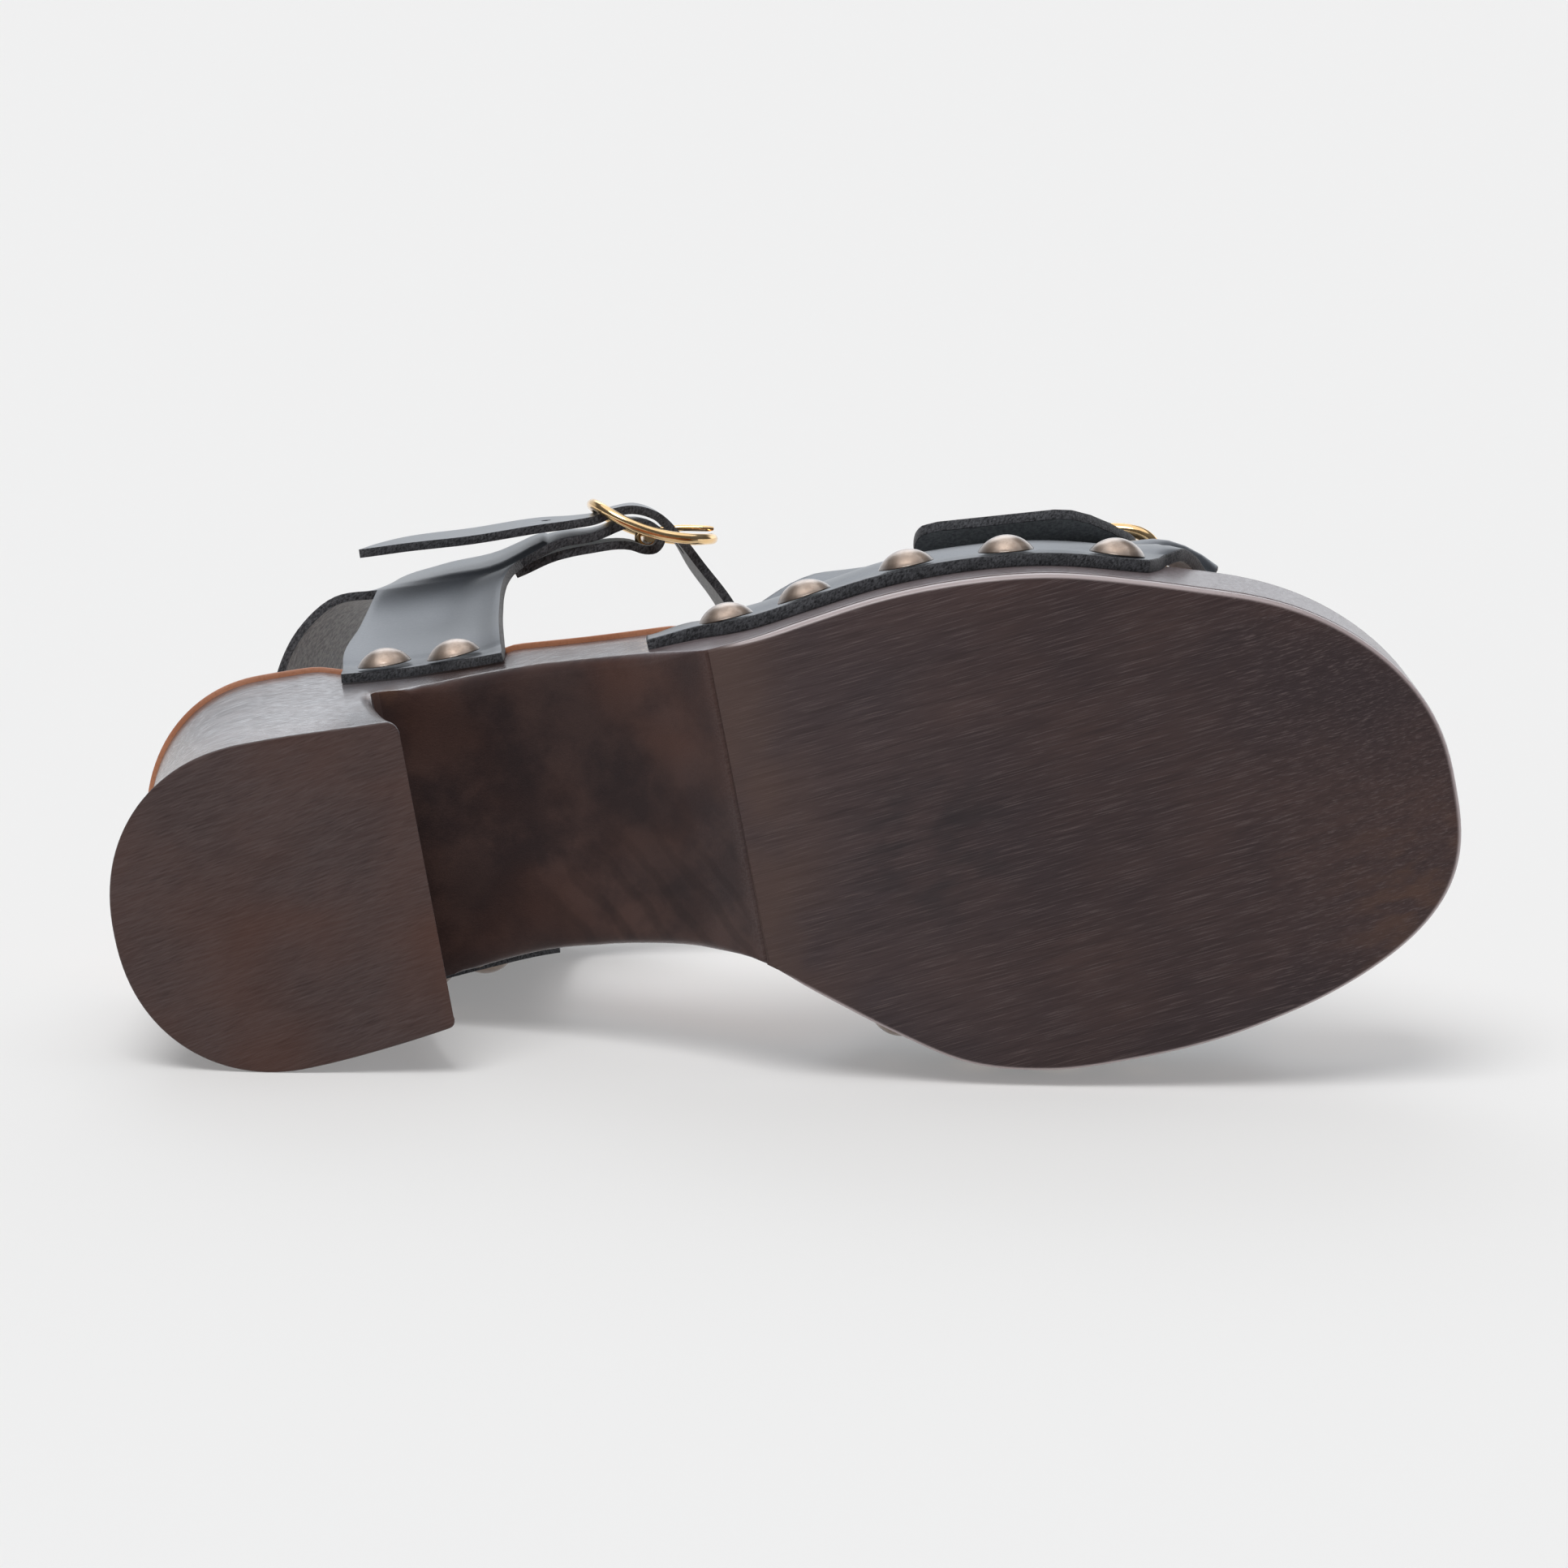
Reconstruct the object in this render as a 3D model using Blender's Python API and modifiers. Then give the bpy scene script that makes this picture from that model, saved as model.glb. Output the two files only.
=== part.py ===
"""A right clog sandal lying on its medial side, built from the pieces its maker puts together.

A carved wooden sole carries a half sole below and an insole above.  Two nailed leather pieces
cross the forefoot and meet in a wide buckle, and a quarter strap goes round the heel and ankle
and meets in a smaller one.  Everything is shaped standing, in millimetres: x runs from the back
of the heel to the toe, y from the lateral side to the medial side, z up from the ground.
"""
import math

import bmesh
import bpy
import numpy as np
from mathutils import Matrix, Vector

MM = 0.001

# Outline of the wood: a row for each section across the sole.
# x, half width on the lateral side, half width on the medial side, height of the footbed's edge
SECTIONS = np.array([
    (0.0, 30.6, 31.6, 69.6),
    (38.0, 30.8, 31.6, 70.2),
    (58.0, 30.0, 29.3, 66.0),
    (80.0, 30.8, 25.0, 51.4),
    (95.0, 31.2, 24.6, 41.2),
    (108.0, 31.7, 25.8, 33.2),
    (117.0, 32.0, 28.2, 28.8),
    (125.0, 32.4, 35.0, 26.4),
    (138.0, 34.2, 45.6, 25.0),
    (150.0, 35.7, 53.8, 24.6),
    (165.0, 36.0, 58.5, 24.5),
    (182.0, 34.3, 59.6, 24.6),
    (200.0, 29.4, 58.6, 25.2),
    (212.0, 25.4, 56.4, 25.9),
    (232.0, 18.9, 51.2, 27.4),
    (251.0, 12.4, 46.4, 29.0),
])
HEEL_BACK = -0.9
HEEL_ROUND = 31.0
HEEL_SQUARENESS = 2.2
TOE_START = 212.0
TOE_TIP = 250.6
TOE_SQUARENESS = 2.7
TOE_SWING = 3.6

# Wooden sole
FOOTBED_DISH = 1.4
HEEL_WAIST = 1.5
HEEL_DRAFT = 3.8
MEDIAL_DRAFT = 2.8
RIM_BEVEL = 0.7
HALF_SOLE_END = 117.6
# Side view of the hollow under the waist, from the ground up the heel's front and along the arch
ARCH = [
    (59.0, -3.0), (58.6, 0.0), (55.9, 15.0), (53.7, 30.0), (52.4, 41.0), (52.3, 43.2), (53.4, 44.4),
    (66.0, 38.2), (80.0, 30.0), (94.0, 20.8), (106.0, 11.2), (115.6, 2.6), (118.6, -3.0),
]

# Half sole and insole
HALF_SOLE = 2.6
HALF_SOLE_SKIVED = 0.7
SKIVE = 16.0
TOE_SPRING = 4.0
SPRING_START = 204.0
INSOLE = 1.6
INSOLE_OVERHANG = 0.5
FIT = 0.25

# Leather
LEATHER = 2.1
NAILED_DEPTH = 13.0
MEDIAL_DEPTH = 12.0
STUD_RADIUS = 4.8
STUD_HEIGHT = 2.7
STUD_LIP = 0.35
STUD_ABOVE_EDGE = 5.7
LATERAL_VAMP_STUDS = (122.0, 137.5, 157.0, 175.5, 195.5)
MEDIAL_VAMP_STUDS = (140.5, 154.5, 169.0, 184.5, 200.0)
LATERAL_QUARTER_STUDS = (55.0, 69.0)
MEDIAL_QUARTER_STUDS = (52.5, 64.5)

# Vamp buckle: its bar is a straight line over the lateral shoulder of the forefoot
BAR_BACK = (157.0, 20.5, 65.0)
BAR_FRONT = (207.0, 17.2, 59.6)
BAR_SLOPE_DEG = 28.0
BAR_RADIUS = 1.1
VAMP_FRAME_HALF = (12.6, 24.8)
VAMP_FRAME_WIRE = 1.3
VAMP_FRAME_ARCH = (0.0227, -0.127, 0.0)
VAMP_PRONG = 0.9
LOOP_RADIUS = BAR_RADIUS + FIT + LEATHER / 2

# Ankle buckle: its bar stands upright on the lateral front of the ankle
ANKLE_BAR = (108.84, 36.8)
ANKLE_FRONT = (0.89, -0.456)
ANKLE_MID = 125.0
ANKLE_STRAP = 15.0
ANKLE_FRAME_HALF = (12.6, 11.4)
ANKLE_FRAME_WIRE = 1.1
ANKLE_FRAME_ARCH = (0.0101, 0.0, 1.0)
ANKLE_PRONG = 0.8

# Nailed pieces of the vamp, a row for each place on the way up from the ground:
# the back edge, the front edge
OUTER_EDGES = [(118.0, 201.5), (118.5, 204.5), (119.5, 208.5), (121.5, 211.0), (125.5, 213.5),
               (143.0, 215.5), (152.0, 214.5), (159.4, 203.6), (160.2, 202.8), (160.2, 202.8), (160.2, 202.8),
               (160.2, 202.8), (160.2, 202.8), (160.2, 202.8), (160.2, 202.8), (161.2, 201.8)]
OUTER_TAIL = 106.5
INNER_EDGES = [(126.0, 207.0), (126.5, 208.5), (127.5, 210.0), (129.0, 211.5), (134.0, 214.0),
               (144.0, 213.0), (152.0, 209.0), (157.4, 204.8), (159.8, 203.2), (160.0, 203.0),
               (160.0, 203.0), (160.0, 203.0), (160.0, 203.0), (160.0, 203.0), (160.4, 201.0),
               (165.0, 189.0)]

# Quarter strap, a row for each place on its way: lower edge x, lateral, z, then upper edge
QUARTER_FOLD = [
    ("fold end", 98.4, 36.5, 118.2, 98.4, 36.5, 131.8),
]
QUARTER_BAND = [
    ("buckle side", 98.0, 38.8, 117.6, 98.0, 38.8, 132.6),
    ("buckle side", 91.0, 38.8, 117.2, 91.0, 38.8, 132.8),
    ("buckle side", 85.0, 37.5, 116.0, 85.0, 37.5, 133.0),
    ("leg front", 79.0, 36.2, 114.0, 79.0, 36.2, 133.2),
    ("leg", 66.0, 36.4, 113.5, 66.5, 36.2, 133.6),
    ("leg back", 53.4, 37.0, 114.5, 56.0, 35.2, 134.0),
    ("sling", 45.0, 37.4, 114.0, 49.0, 29.6, 134.2),
    ("sling", 36.8, 32.6, 113.2, 42.6, 22.4, 134.0),
    ("sling", 30.6, 24.0, 112.4, 39.2, 13.6, 133.6),
    ("sling back", 26.6, 9.6, 112.0, 37.6, 3.6, 133.2),
    ("sling", 27.2, -8.0, 112.4, 38.4, -9.0, 133.2),
    ("sling", 32.2, -23.4, 113.0, 42.4, -20.6, 133.4),
    ("sling", 40.4, -33.6, 113.8, 48.4, -29.6, 133.6),
    ("leg back", 50.4, -37.3, 114.4, 56.8, -34.8, 133.6),
    ("leg", 64.0, -38.0, 113.6, 67.0, -36.8, 133.2),
    ("leg front", 79.0, -36.6, 114.0, 79.5, -36.0, 132.8),
    ("instep", 94.0, -32.4, 117.0, 94.0, -32.4, 132.4),
    ("instep", 109.0, -26.0, 117.4, 109.0, -26.0, 132.4),
    ("instep", 119.5, -15.0, 117.5, 119.5, -15.0, 132.5),
    ("instep", 125.0, -1.4, 117.5, 125.0, -1.4, 132.5),
    ("instep", 125.8, 11.0, 117.5, 125.8, 11.0, 132.5),
    ("instep", 122.8, 21.6, 117.5, 122.8, 21.6, 132.5),
    ("under the frame", 118.4, 29.8, 117.5, 118.4, 29.8, 132.5),
    ("rise", 115.0, 36.0, 117.5, 115.0, 36.0, 132.5),
]
QUARTER_FREE = [
    ("hump", 107.0, 43.0, 118.0, 107.0, 43.0, 132.0),
    ("hump", 103.2, 43.0, 118.0, 103.2, 43.0, 132.0),
    ("under the frame", 99.2, 41.5, 118.0, 99.2, 41.5, 132.0),
    ("under the frame", 95.0, 41.5, 118.0, 95.0, 41.5, 132.0),
    ("free end", 88.0, 41.5, 117.5, 88.0, 41.5, 132.5),
    ("free end", 74.0, 41.6, 117.8, 74.0, 41.6, 132.2),
    ("free end", 60.0, 42.6, 119.0, 60.0, 42.6, 131.4),
    ("tip", 50.2, 43.6, 122.4, 50.2, 43.6, 128.6),
]
LEG_FOOT = (46.5, 78.5)

# How the shoe lies: turned onto its medial side, then settled on heel rim, studs and strap
LEAN_DEG = -0.56
DROP_DEG = 12.02

COLOURS = {
    "wood": (0.075, 0.05, 0.048), "half_sole": (0.06, 0.043, 0.042), "insole": (0.42, 0.2, 0.08),
    "leather": (0.02, 0.021, 0.023), "gold": (0.78, 0.52, 0.2), "stud": (0.5, 0.42, 0.33),
}


def hermite(knots, rows, at):
    """Values at the given places of a smooth curve through the rows."""
    knots = np.asarray(knots, float)
    rows = np.asarray(rows, float)
    at = np.clip(np.asarray(at, float), knots[0], knots[-1])
    gap = np.diff(knots)
    slope = (np.diff(rows, axis=0).T / gap).T
    lead = np.empty_like(rows)
    lead[0] = slope[0]
    lead[-1] = slope[-1]
    for i in range(1, len(knots) - 1):
        lead[i] = (slope[i - 1] * gap[i] + slope[i] * gap[i - 1]) / (gap[i - 1] + gap[i])
    i = np.clip(np.searchsorted(knots, at, side="right") - 1, 0, len(gap) - 1)
    t = (at - knots[i]) / gap[i]
    shape = (-1,) + (1,) * (rows.ndim - 1)
    t = t.reshape(shape)
    g = gap[i].reshape(shape)
    return ((2 * t ** 3 - 3 * t ** 2 + 1) * rows[i] + (t ** 3 - 2 * t ** 2 + t) * g * lead[i]
            + (3 * t ** 2 - 2 * t ** 3) * rows[i + 1] + (t ** 3 - t ** 2) * g * lead[i + 1])


def smooth_path(controls, steps):
    """Points of a smooth path through the controls, with so many steps in each span."""
    controls = np.asarray(controls, float)
    span = np.linalg.norm(np.diff(controls, axis=0), axis=1)
    knots = np.concatenate(([0.0], np.cumsum(span)))
    at = []
    for i, count in enumerate(steps):
        at += [knots[i] + span[i] * k / count for k in range(count)]
    return hermite(knots, controls, at + [knots[-1]])


def section(x):
    """Lateral and medial half width and footbed height of the wood at x."""
    lateral, medial, height = hermite(SECTIONS[:, 0], SECTIONS[:, 1:], [max(x, 0.0)])[0]
    heel = min(max((x - HEEL_BACK) / HEEL_ROUND, 0.0), 1.0)
    toe = min(max((x - TOE_START) / (TOE_TIP - TOE_START), 0.0), 1.0)
    narrow = (1.0 - (1.0 - heel) ** HEEL_SQUARENESS) ** (1.0 / HEEL_SQUARENESS)
    narrow *= (1.0 - toe ** TOE_SQUARENESS) ** (1.0 / TOE_SQUARENESS)
    middle = (medial - lateral) / 2
    half = (medial + lateral) / 2 * narrow
    middle += TOE_SWING * toe ** 2
    return half - middle, half + middle, height


def spring(x):
    """Rise of the tread toward the toe."""
    return TOE_SPRING * max((x - SPRING_START) / (TOE_TIP - SPRING_START), 0.0) ** 2


def half_sole_at(x):
    """Thickness of the half sole, skived toward its back edge."""
    share = min(max((x - HALF_SOLE_END) / SKIVE, 0.0), 1.0)
    return HALF_SOLE_SKIVED + (HALF_SOLE - HALF_SOLE_SKIVED) * share


def footbed(x, y):
    """Height of the wood's dished top."""
    lateral, medial, height = section(x)
    half = max((lateral + medial) / 2, 0.5)
    across = min(abs(y - (medial - lateral) / 2) / half, 1.0)
    return height - FOOTBED_DISH * min(half / 30.0, 1.0) ** 2 * (1.0 - across ** 2)


def wood_bottom(x, y):
    """Height of the wood's lower side before the hollow of the arch is cut."""
    if x < 80.0:
        return 0.0
    return half_sole_at(x) + FIT + spring(x)


def inset_at(x, side, share):
    """How far the wood's wall stands in from the tread's edge at a share of its height."""
    waist = HEEL_WAIST * 4 * share * (1.0 - share) * min(max((86.0 - x) / 26.0, 0.0), 1.0)
    if side < 0:
        return waist
    rise = min(max((x - 118.0) / 24.0, 0.0), 1.0)
    fall = min(max((246.0 - x) / 30.0, 0.0), 1.0)
    return waist + MEDIAL_DRAFT * share * rise ** 2 * (3 - 2 * rise) * fall ** 2 * (3 - 2 * fall)


def wall(x, side, distance, depth=0.0):
    """Distance from the middle line of a wall standing so far off the wood, so deep below its top."""
    which = 0 if side < 0 else 1
    slope = (section(x + 1.0)[which] - section(x - 1.0)[which]) / 2
    inset = inset_at(x, side, 1.0 - depth / section(x)[2])
    return section(x)[which] - inset + distance * math.hypot(1.0, slope)


def stations():
    """Places along the sole, close together where its ends turn."""
    heel = [HEEL_BACK + HEEL_ROUND * (1.0 - math.cos(math.radians(a))) for a in range(9, 90, 9)]
    middle = list(np.linspace(HEEL_BACK + HEEL_ROUND, TOE_START, 27))
    toe = [TOE_START + (TOE_TIP - TOE_START) * math.sin(math.radians(a)) for a in range(9, 90, 9)]
    return heel + middle + toe


def outline(inset, share):
    """Closed ring of the sole's outline; share is how far up the wall it runs."""
    xs = stations()
    lateral = [(x, -section(x)[0]) for x in xs]
    medial = [(x, section(x)[1]) for x in xs]
    tip = (section(TOE_TIP)[1] - section(TOE_TIP)[0]) / 2
    back = (section(HEEL_BACK)[1] - section(HEEL_BACK)[0]) / 2
    ring = np.array([(HEEL_BACK, back)] + lateral + [(TOE_TIP, tip)] + medial[::-1])
    along = np.roll(ring, -1, axis=0) - np.roll(ring, 1, axis=0)
    along /= np.linalg.norm(along, axis=1)[:, None]
    inward = np.stack([-along[:, 1], along[:, 0]], axis=1)
    sides = [-1] * (len(xs) + 2) + [1] * len(xs)
    depth = np.array([inset + inset_at(x, side, share) for (x, y), side in zip(ring, sides)])
    back = np.clip(1.0 - (ring[:, 0] - HEEL_BACK) / HEEL_ROUND, 0.0, 1.0)
    ring = ring + inward * depth[:, None]
    ring[:, 0] += HEEL_DRAFT * share * back
    return ring


def slab(name, lower, upper, levels, across):
    """Closed body between two heights; levels are (share of the height, extra height, inset, share of the wall)."""
    count = len(stations())
    rings = []
    for share, extra, inset, climb in levels:
        ring = outline(inset, climb)
        height = [(1 - share) * lower(x, y) + share * upper(x, y) + extra for x, y in ring]
        rings.append(np.column_stack([ring, height]))
    points = [tuple(p) for ring in rings for p in ring]
    size = len(rings[0])
    faces = []
    for level in range(len(rings) - 1):
        for i in range(size):
            j = (i + 1) % size
            faces.append((level * size + i, level * size + j, (level + 1) * size + j,
                          (level + 1) * size + i))
    for level, surface, turn in ((0, lower, True), (len(rings) - 1, upper, False)):
        rows = []
        for i in range(1, count + 1):
            a = level * size + i
            b = level * size + size - i
            row = [a]
            for k in range(1, across):
                x, y, z = np.array(points[a]) * (1 - k / across) + np.array(points[b]) * k / across
                row.append(len(points))
                points.append((x, y, surface(x, y)))
            rows.append(row + [b])
        caps = [(level * size, rows[0], True), (level * size + count + 1, rows[-1], False)]
        for tip, row, first in caps:
            for k in range(across):
                fan = (tip, row[k], row[k + 1]) if first else (tip, row[k + 1], row[k])
                faces.append(fan[::-1] if turn else fan)
        for i in range(count - 1):
            for k in range(across):
                quad = (rows[i][k], rows[i + 1][k], rows[i + 1][k + 1], rows[i][k + 1])
                faces.append(quad[::-1] if turn else quad)
    return body(name, points, faces)


def body(name, points, faces):
    """Object with the given points, in millimetres, and faces, all facing out."""
    mesh = bpy.data.meshes.new(name)
    mesh.from_pydata([Vector(p) * MM for p in points], [], faces)
    shape = bmesh.new()
    shape.from_mesh(mesh)
    loose = [v for v in shape.verts if not v.link_faces]
    bmesh.ops.delete(shape, geom=loose, context="VERTS")
    bmesh.ops.recalc_face_normals(shape, faces=shape.faces)
    shape.to_mesh(mesh)
    shape.free()
    return bpy.data.objects.new(name, mesh)


def prism(name, side_view, reach):
    """Cutter: an outline in side view drawn out across the shoe."""
    mesh = bpy.data.meshes.new(name)
    shape = bmesh.new()
    ring = [shape.verts.new(Vector((x, -reach, z)) * MM) for x, z in side_view]
    face = shape.faces.new(ring)
    grown = bmesh.ops.extrude_face_region(shape, geom=[face])
    moved = [v for v in grown["geom"] if isinstance(v, bmesh.types.BMVert)]
    bmesh.ops.translate(shape, verts=moved, vec=Vector((0.0, 2 * reach, 0.0)) * MM)
    bmesh.ops.recalc_face_normals(shape, faces=shape.faces)
    shape.to_mesh(mesh)
    shape.free()
    cutter = bpy.data.objects.new(name, mesh)
    cutter.hide_render = True
    cutter.display_type = "WIRE"
    cutters.objects.link(cutter)
    cutter.parent = lying
    return cutter


def cut(part, cutter, operation="DIFFERENCE"):
    """Boolean modifier on a part."""
    modifier = part.modifiers.new(cutter.name, "BOOLEAN")
    modifier.object = cutter
    modifier.operation = operation
    modifier.solver = "EXACT"


def sheet(name, grid, skip=()):
    """Leather of even thickness whose middle is a grid of points; cells in skip are left out."""
    rows = len(grid)
    columns = len(grid[0])
    points = [p for row in grid for p in row]
    faces = []
    for i in range(rows - 1):
        for j in range(columns - 1):
            if (i, j) not in skip:
                a = i * columns + j
                faces.append((a, a + 1, a + columns + 1, a + columns))
    part = body(name, points, faces)
    thicken(part)
    return part


def thicken(part):
    """Solidify modifier of the leather's thickness, half to each side."""
    wall = part.modifiers.new("leather", "SOLIDIFY")
    wall.thickness = LEATHER * MM
    wall.offset = 0.0
    wall.use_even_offset = True


def finish(part, colour, metallic, roughness):
    """Material, collection and parent of a finished part."""
    material = bpy.data.materials.new(part.name)
    material.use_nodes = True
    shader = material.node_tree.nodes["Principled BSDF"]
    shader.inputs["Base Color"].default_value = (*COLOURS[colour], 1.0)
    shader.inputs["Metallic"].default_value = metallic
    shader.inputs["Roughness"].default_value = roughness
    part.data.materials.clear()
    part.data.materials.append(material)
    parts.objects.link(part)
    part.parent = lying
    return part


def bar_at(x):
    """Middle of the vamp buckle's bar at x: lateral distance and height."""
    share = (x - BAR_BACK[0]) / (BAR_FRONT[0] - BAR_BACK[0])
    return np.array(BAR_BACK[1:]) * (1 - share) + np.array(BAR_FRONT[1:]) * share


def over_bar(x, places):
    """Points given along and out from the vamp buckle's bar, as lateral distance and height."""
    slope = math.radians(BAR_SLOPE_DEG)
    along = np.array((-math.cos(slope), math.sin(slope)))
    out = np.array((math.sin(slope), math.cos(slope)))
    return [bar_at(x) + along * s + out * n for s, n in places]


def vamp_outer_path(x):
    """Way of the lateral vamp piece at x: up the wood, over the shoulder, round the bar and back."""
    height = section(x)[2]
    nailed = wall(x, -1, FIT + LEATHER / 2)
    over = wall(x, -1, INSOLE_OVERHANG + 2 * FIT + LEATHER / 2)
    droop = 0.03 * max(x - 204.0, 0.0) ** 2
    climb = [(nailed, height - NAILED_DEPTH), (nailed, height - 2.6), (over, height + 1.2),
             (over + 0.2, height + 9.0), (over - 1.1, height + 17.0)]
    r = LOOP_RADIUS
    fold = [(-15.5, -5.4), (-11.6, -2.9), (-8.0, -0.6), (-2.8, 2.1), (0.0, r), (r * 0.71, r * 0.71), (r, 0.0),
            (r * 0.71, -r * 0.71), (0.0, -r), (-5.0, -3.6), (-10.0, -6.2)]
    shoulder = over_bar(x, fold)
    for place, share in zip(shoulder, (0.9, 0.8)):
        place[0] -= droop * share
    return climb + shoulder


def vamp_inner_path(x):
    """Way of the medial vamp piece at x: up the wood, over the foot and through the buckle."""
    height = section(x)[2]
    foot = wall(x, 1, FIT + LEATHER / 2, MEDIAL_DEPTH)
    nailed = wall(x, 1, FIT + LEATHER / 2, 1.6)
    over = wall(x, 1, INSOLE_OVERHANG + 2 * FIT + LEATHER / 2)
    crown = bar_at(x)[1] + 3.4
    climb = [(foot, height - MEDIAL_DEPTH), (nailed, height - 1.6), (over, height + 1.2),
             (over - 0.4, height + 9.0), (over - 5.4, height + 21.0), (over - 16.4, crown - 8.4),
             (over - 32.0, crown - 1.6)]
    buckle = [(21.0, -7.4), (14.5, -4.6), (10.4, -2.3), (6.0, 1.4),
              (0.0, LOOP_RADIUS + LEATHER + FIT + 0.1), (-6.0, 3.6), (-12.6, -0.3), (-18.5, -3.6),
              (-25.4, -7.0)]
    return [(-y, z) for y, z in climb] + over_bar(x, buckle)


def vamp_grid(path, edges, steps, columns):
    """Grid of a vamp piece: a row for each step of its way, a column for each place across it."""
    at = np.arange(len(edges), dtype=float)
    rows = []
    where = []
    for i, count in enumerate(steps):
        where += [i + k / count for k in range(count)]
    where.append(len(steps))
    spread = hermite(at, np.array(edges), where)
    for row, (back, front) in enumerate(spread):
        line = []
        for x in np.linspace(back, front, columns):
            lateral, z = smooth_path(path(x), steps)[row]
            line.append((x, -lateral, z))
        rows.append(line)
    return rows


def stud(name, x, side, depth):
    """Dome nail at a depth below the footbed's edge; side is -1 for lateral and 1 for medial."""
    step = 2.0
    ahead = section(x + step)
    behind = section(x - step)
    here = section(x)
    which = 0 if side < 0 else 1
    run = Vector((2 * step, side * (ahead[which] - behind[which]), ahead[2] - behind[2]))
    out = Vector((-side * run.y, side * run.x, 0.0)).normalized()
    out.z = (wall(x, side, 0.0, depth + step) - wall(x, side, 0.0, depth - step)) / (2 * step)
    out.normalize()
    foot = Vector((x, side * wall(x, side, 0.0, depth), here[2] - depth))
    seat = foot + out * (LEATHER + 2 * FIT + 0.1)
    rise = STUD_HEIGHT - STUD_LIP
    arc = [(STUD_RADIUS * math.cos(math.radians(a)), STUD_LIP + rise * math.sin(math.radians(a)))
           for a in (0, 26, 52, 74)]
    profile = [(0.0, 0.0), (STUD_RADIUS, 0.0)] + arc + [(0.0, STUD_HEIGHT)]
    mesh = bpy.data.meshes.new(name)
    mesh.from_pydata([Vector((r, 0.0, z)) * MM for r, z in profile],
                     [(i, i + 1) for i in range(len(profile) - 1)], [])
    part = bpy.data.objects.new(name, mesh)
    turn = part.modifiers.new("turned", "SCREW")
    turn.steps = 14
    turn.render_steps = 14
    turn.use_merge_vertices = True
    turn.merge_threshold = 0.00001
    turn.use_normal_calculate = True
    part.matrix_local = Matrix.Translation(seat * MM) @ out.to_track_quat("Z", "Y").to_matrix().to_4x4()
    return finish(part, "stud", 1.0, 0.35)


def wire(name, places, radius, closed):
    """Round wire along the places."""
    curve = bpy.data.curves.new(name, "CURVE")
    curve.dimensions = "3D"
    curve.bevel_depth = radius * MM
    curve.bevel_resolution = 1
    curve.use_fill_caps = True
    line = curve.splines.new("POLY")
    line.points.add(len(places) - 1)
    line.use_cyclic_u = closed
    for point, place in zip(line.points, places):
        point.co = (*(Vector(place) * MM), 1.0)
    part = bpy.data.objects.new(name, curve)
    mesh = bpy.data.meshes.new_from_object(part)
    bpy.data.objects.remove(part)
    shape = bmesh.new()
    shape.from_mesh(mesh)
    bmesh.ops.remove_doubles(shape, verts=shape.verts, dist=0.00001)
    bmesh.ops.recalc_face_normals(shape, faces=shape.faces)
    shape.to_mesh(mesh)
    shape.free()
    return bpy.data.objects.new(name, mesh)


def rounded(half_along, half_across, squareness, count):
    """Ring of a rounded frame, along and across."""
    ring = []
    for k in range(count):
        a = 2 * math.pi * k / count
        c = math.cos(a)
        s = math.sin(a)
        ring.append((half_along * math.copysign(abs(c) ** (2 / squareness), c),
                     half_across * math.copysign(abs(s) ** (2 / squareness), s)))
    return ring


def buckle(name, place, half, radius, arch, squareness, bar_radius):
    """Frame with its bar as one solid; place turns (along, across, out) into a point."""
    ring = [(s, w, arch[0] * s * s + arch[1] * s + arch[2]) for s, w in rounded(*half, squareness, 40)]
    frame = wire(name, [place(*p) for p in ring], radius, True)
    reach = half[1] - 0.5
    bar = wire(name + "_bar", [place(0.0, w, 0.0) for w in (-reach, reach)], bar_radius, False)
    bar.hide_render = True
    bar.display_type = "WIRE"
    cutters.objects.link(bar)
    bar.parent = lying
    cut(frame, bar, "UNION")
    return finish(frame, "gold", 1.0, 0.2)


def prong(name, place, bar_radius, radius, reach, end):
    """Prong: an eye round the bar and a pin that rests on the frame's far side."""
    eye = bar_radius + FIT + radius
    path = [(eye * math.cos(math.radians(a)), eye * math.sin(math.radians(a))) for a in range(350, 80, -26)]
    path += [(eye * 0.4, eye * 1.01), (reach * 0.5, (eye + end) / 2 + 0.1), (reach, end)]
    part = wire(name, [place(s, 0.0, n) for s, n in path], radius, False)
    return finish(part, "gold", 1.0, 0.2)


def at_vamp(s, w, n):
    """Point along, across and out from the vamp buckle's middle."""
    x = (BAR_BACK[0] + BAR_FRONT[0]) / 2 - 0.4 + w
    lateral, z = over_bar(x, [(s, n)])[0]
    return (x, -lateral, z)


def at_ankle(s, w, n):
    """Point along, across and out from the ankle buckle's middle."""
    x = ANKLE_BAR[0] + ANKLE_FRONT[0] * s - ANKLE_FRONT[1] * n
    lateral = ANKLE_BAR[1] + ANKLE_FRONT[1] * s + ANKLE_FRONT[0] * n
    return (x, -lateral, ANKLE_MID + w)


def ankle_row(row):
    """Lower and upper edge of the quarter strap at a row of its tables."""
    return [(row[1], -row[2], row[3]), (row[4], -row[5], row[6])]


def at_bar(places):
    """Lower and upper edge of the quarter strap at places along and out from the ankle buckle's bar."""
    half = ANKLE_STRAP / 2
    return [[at_ankle(s, -half, n), at_ankle(s, half, n)] for s, n in places]


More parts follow.
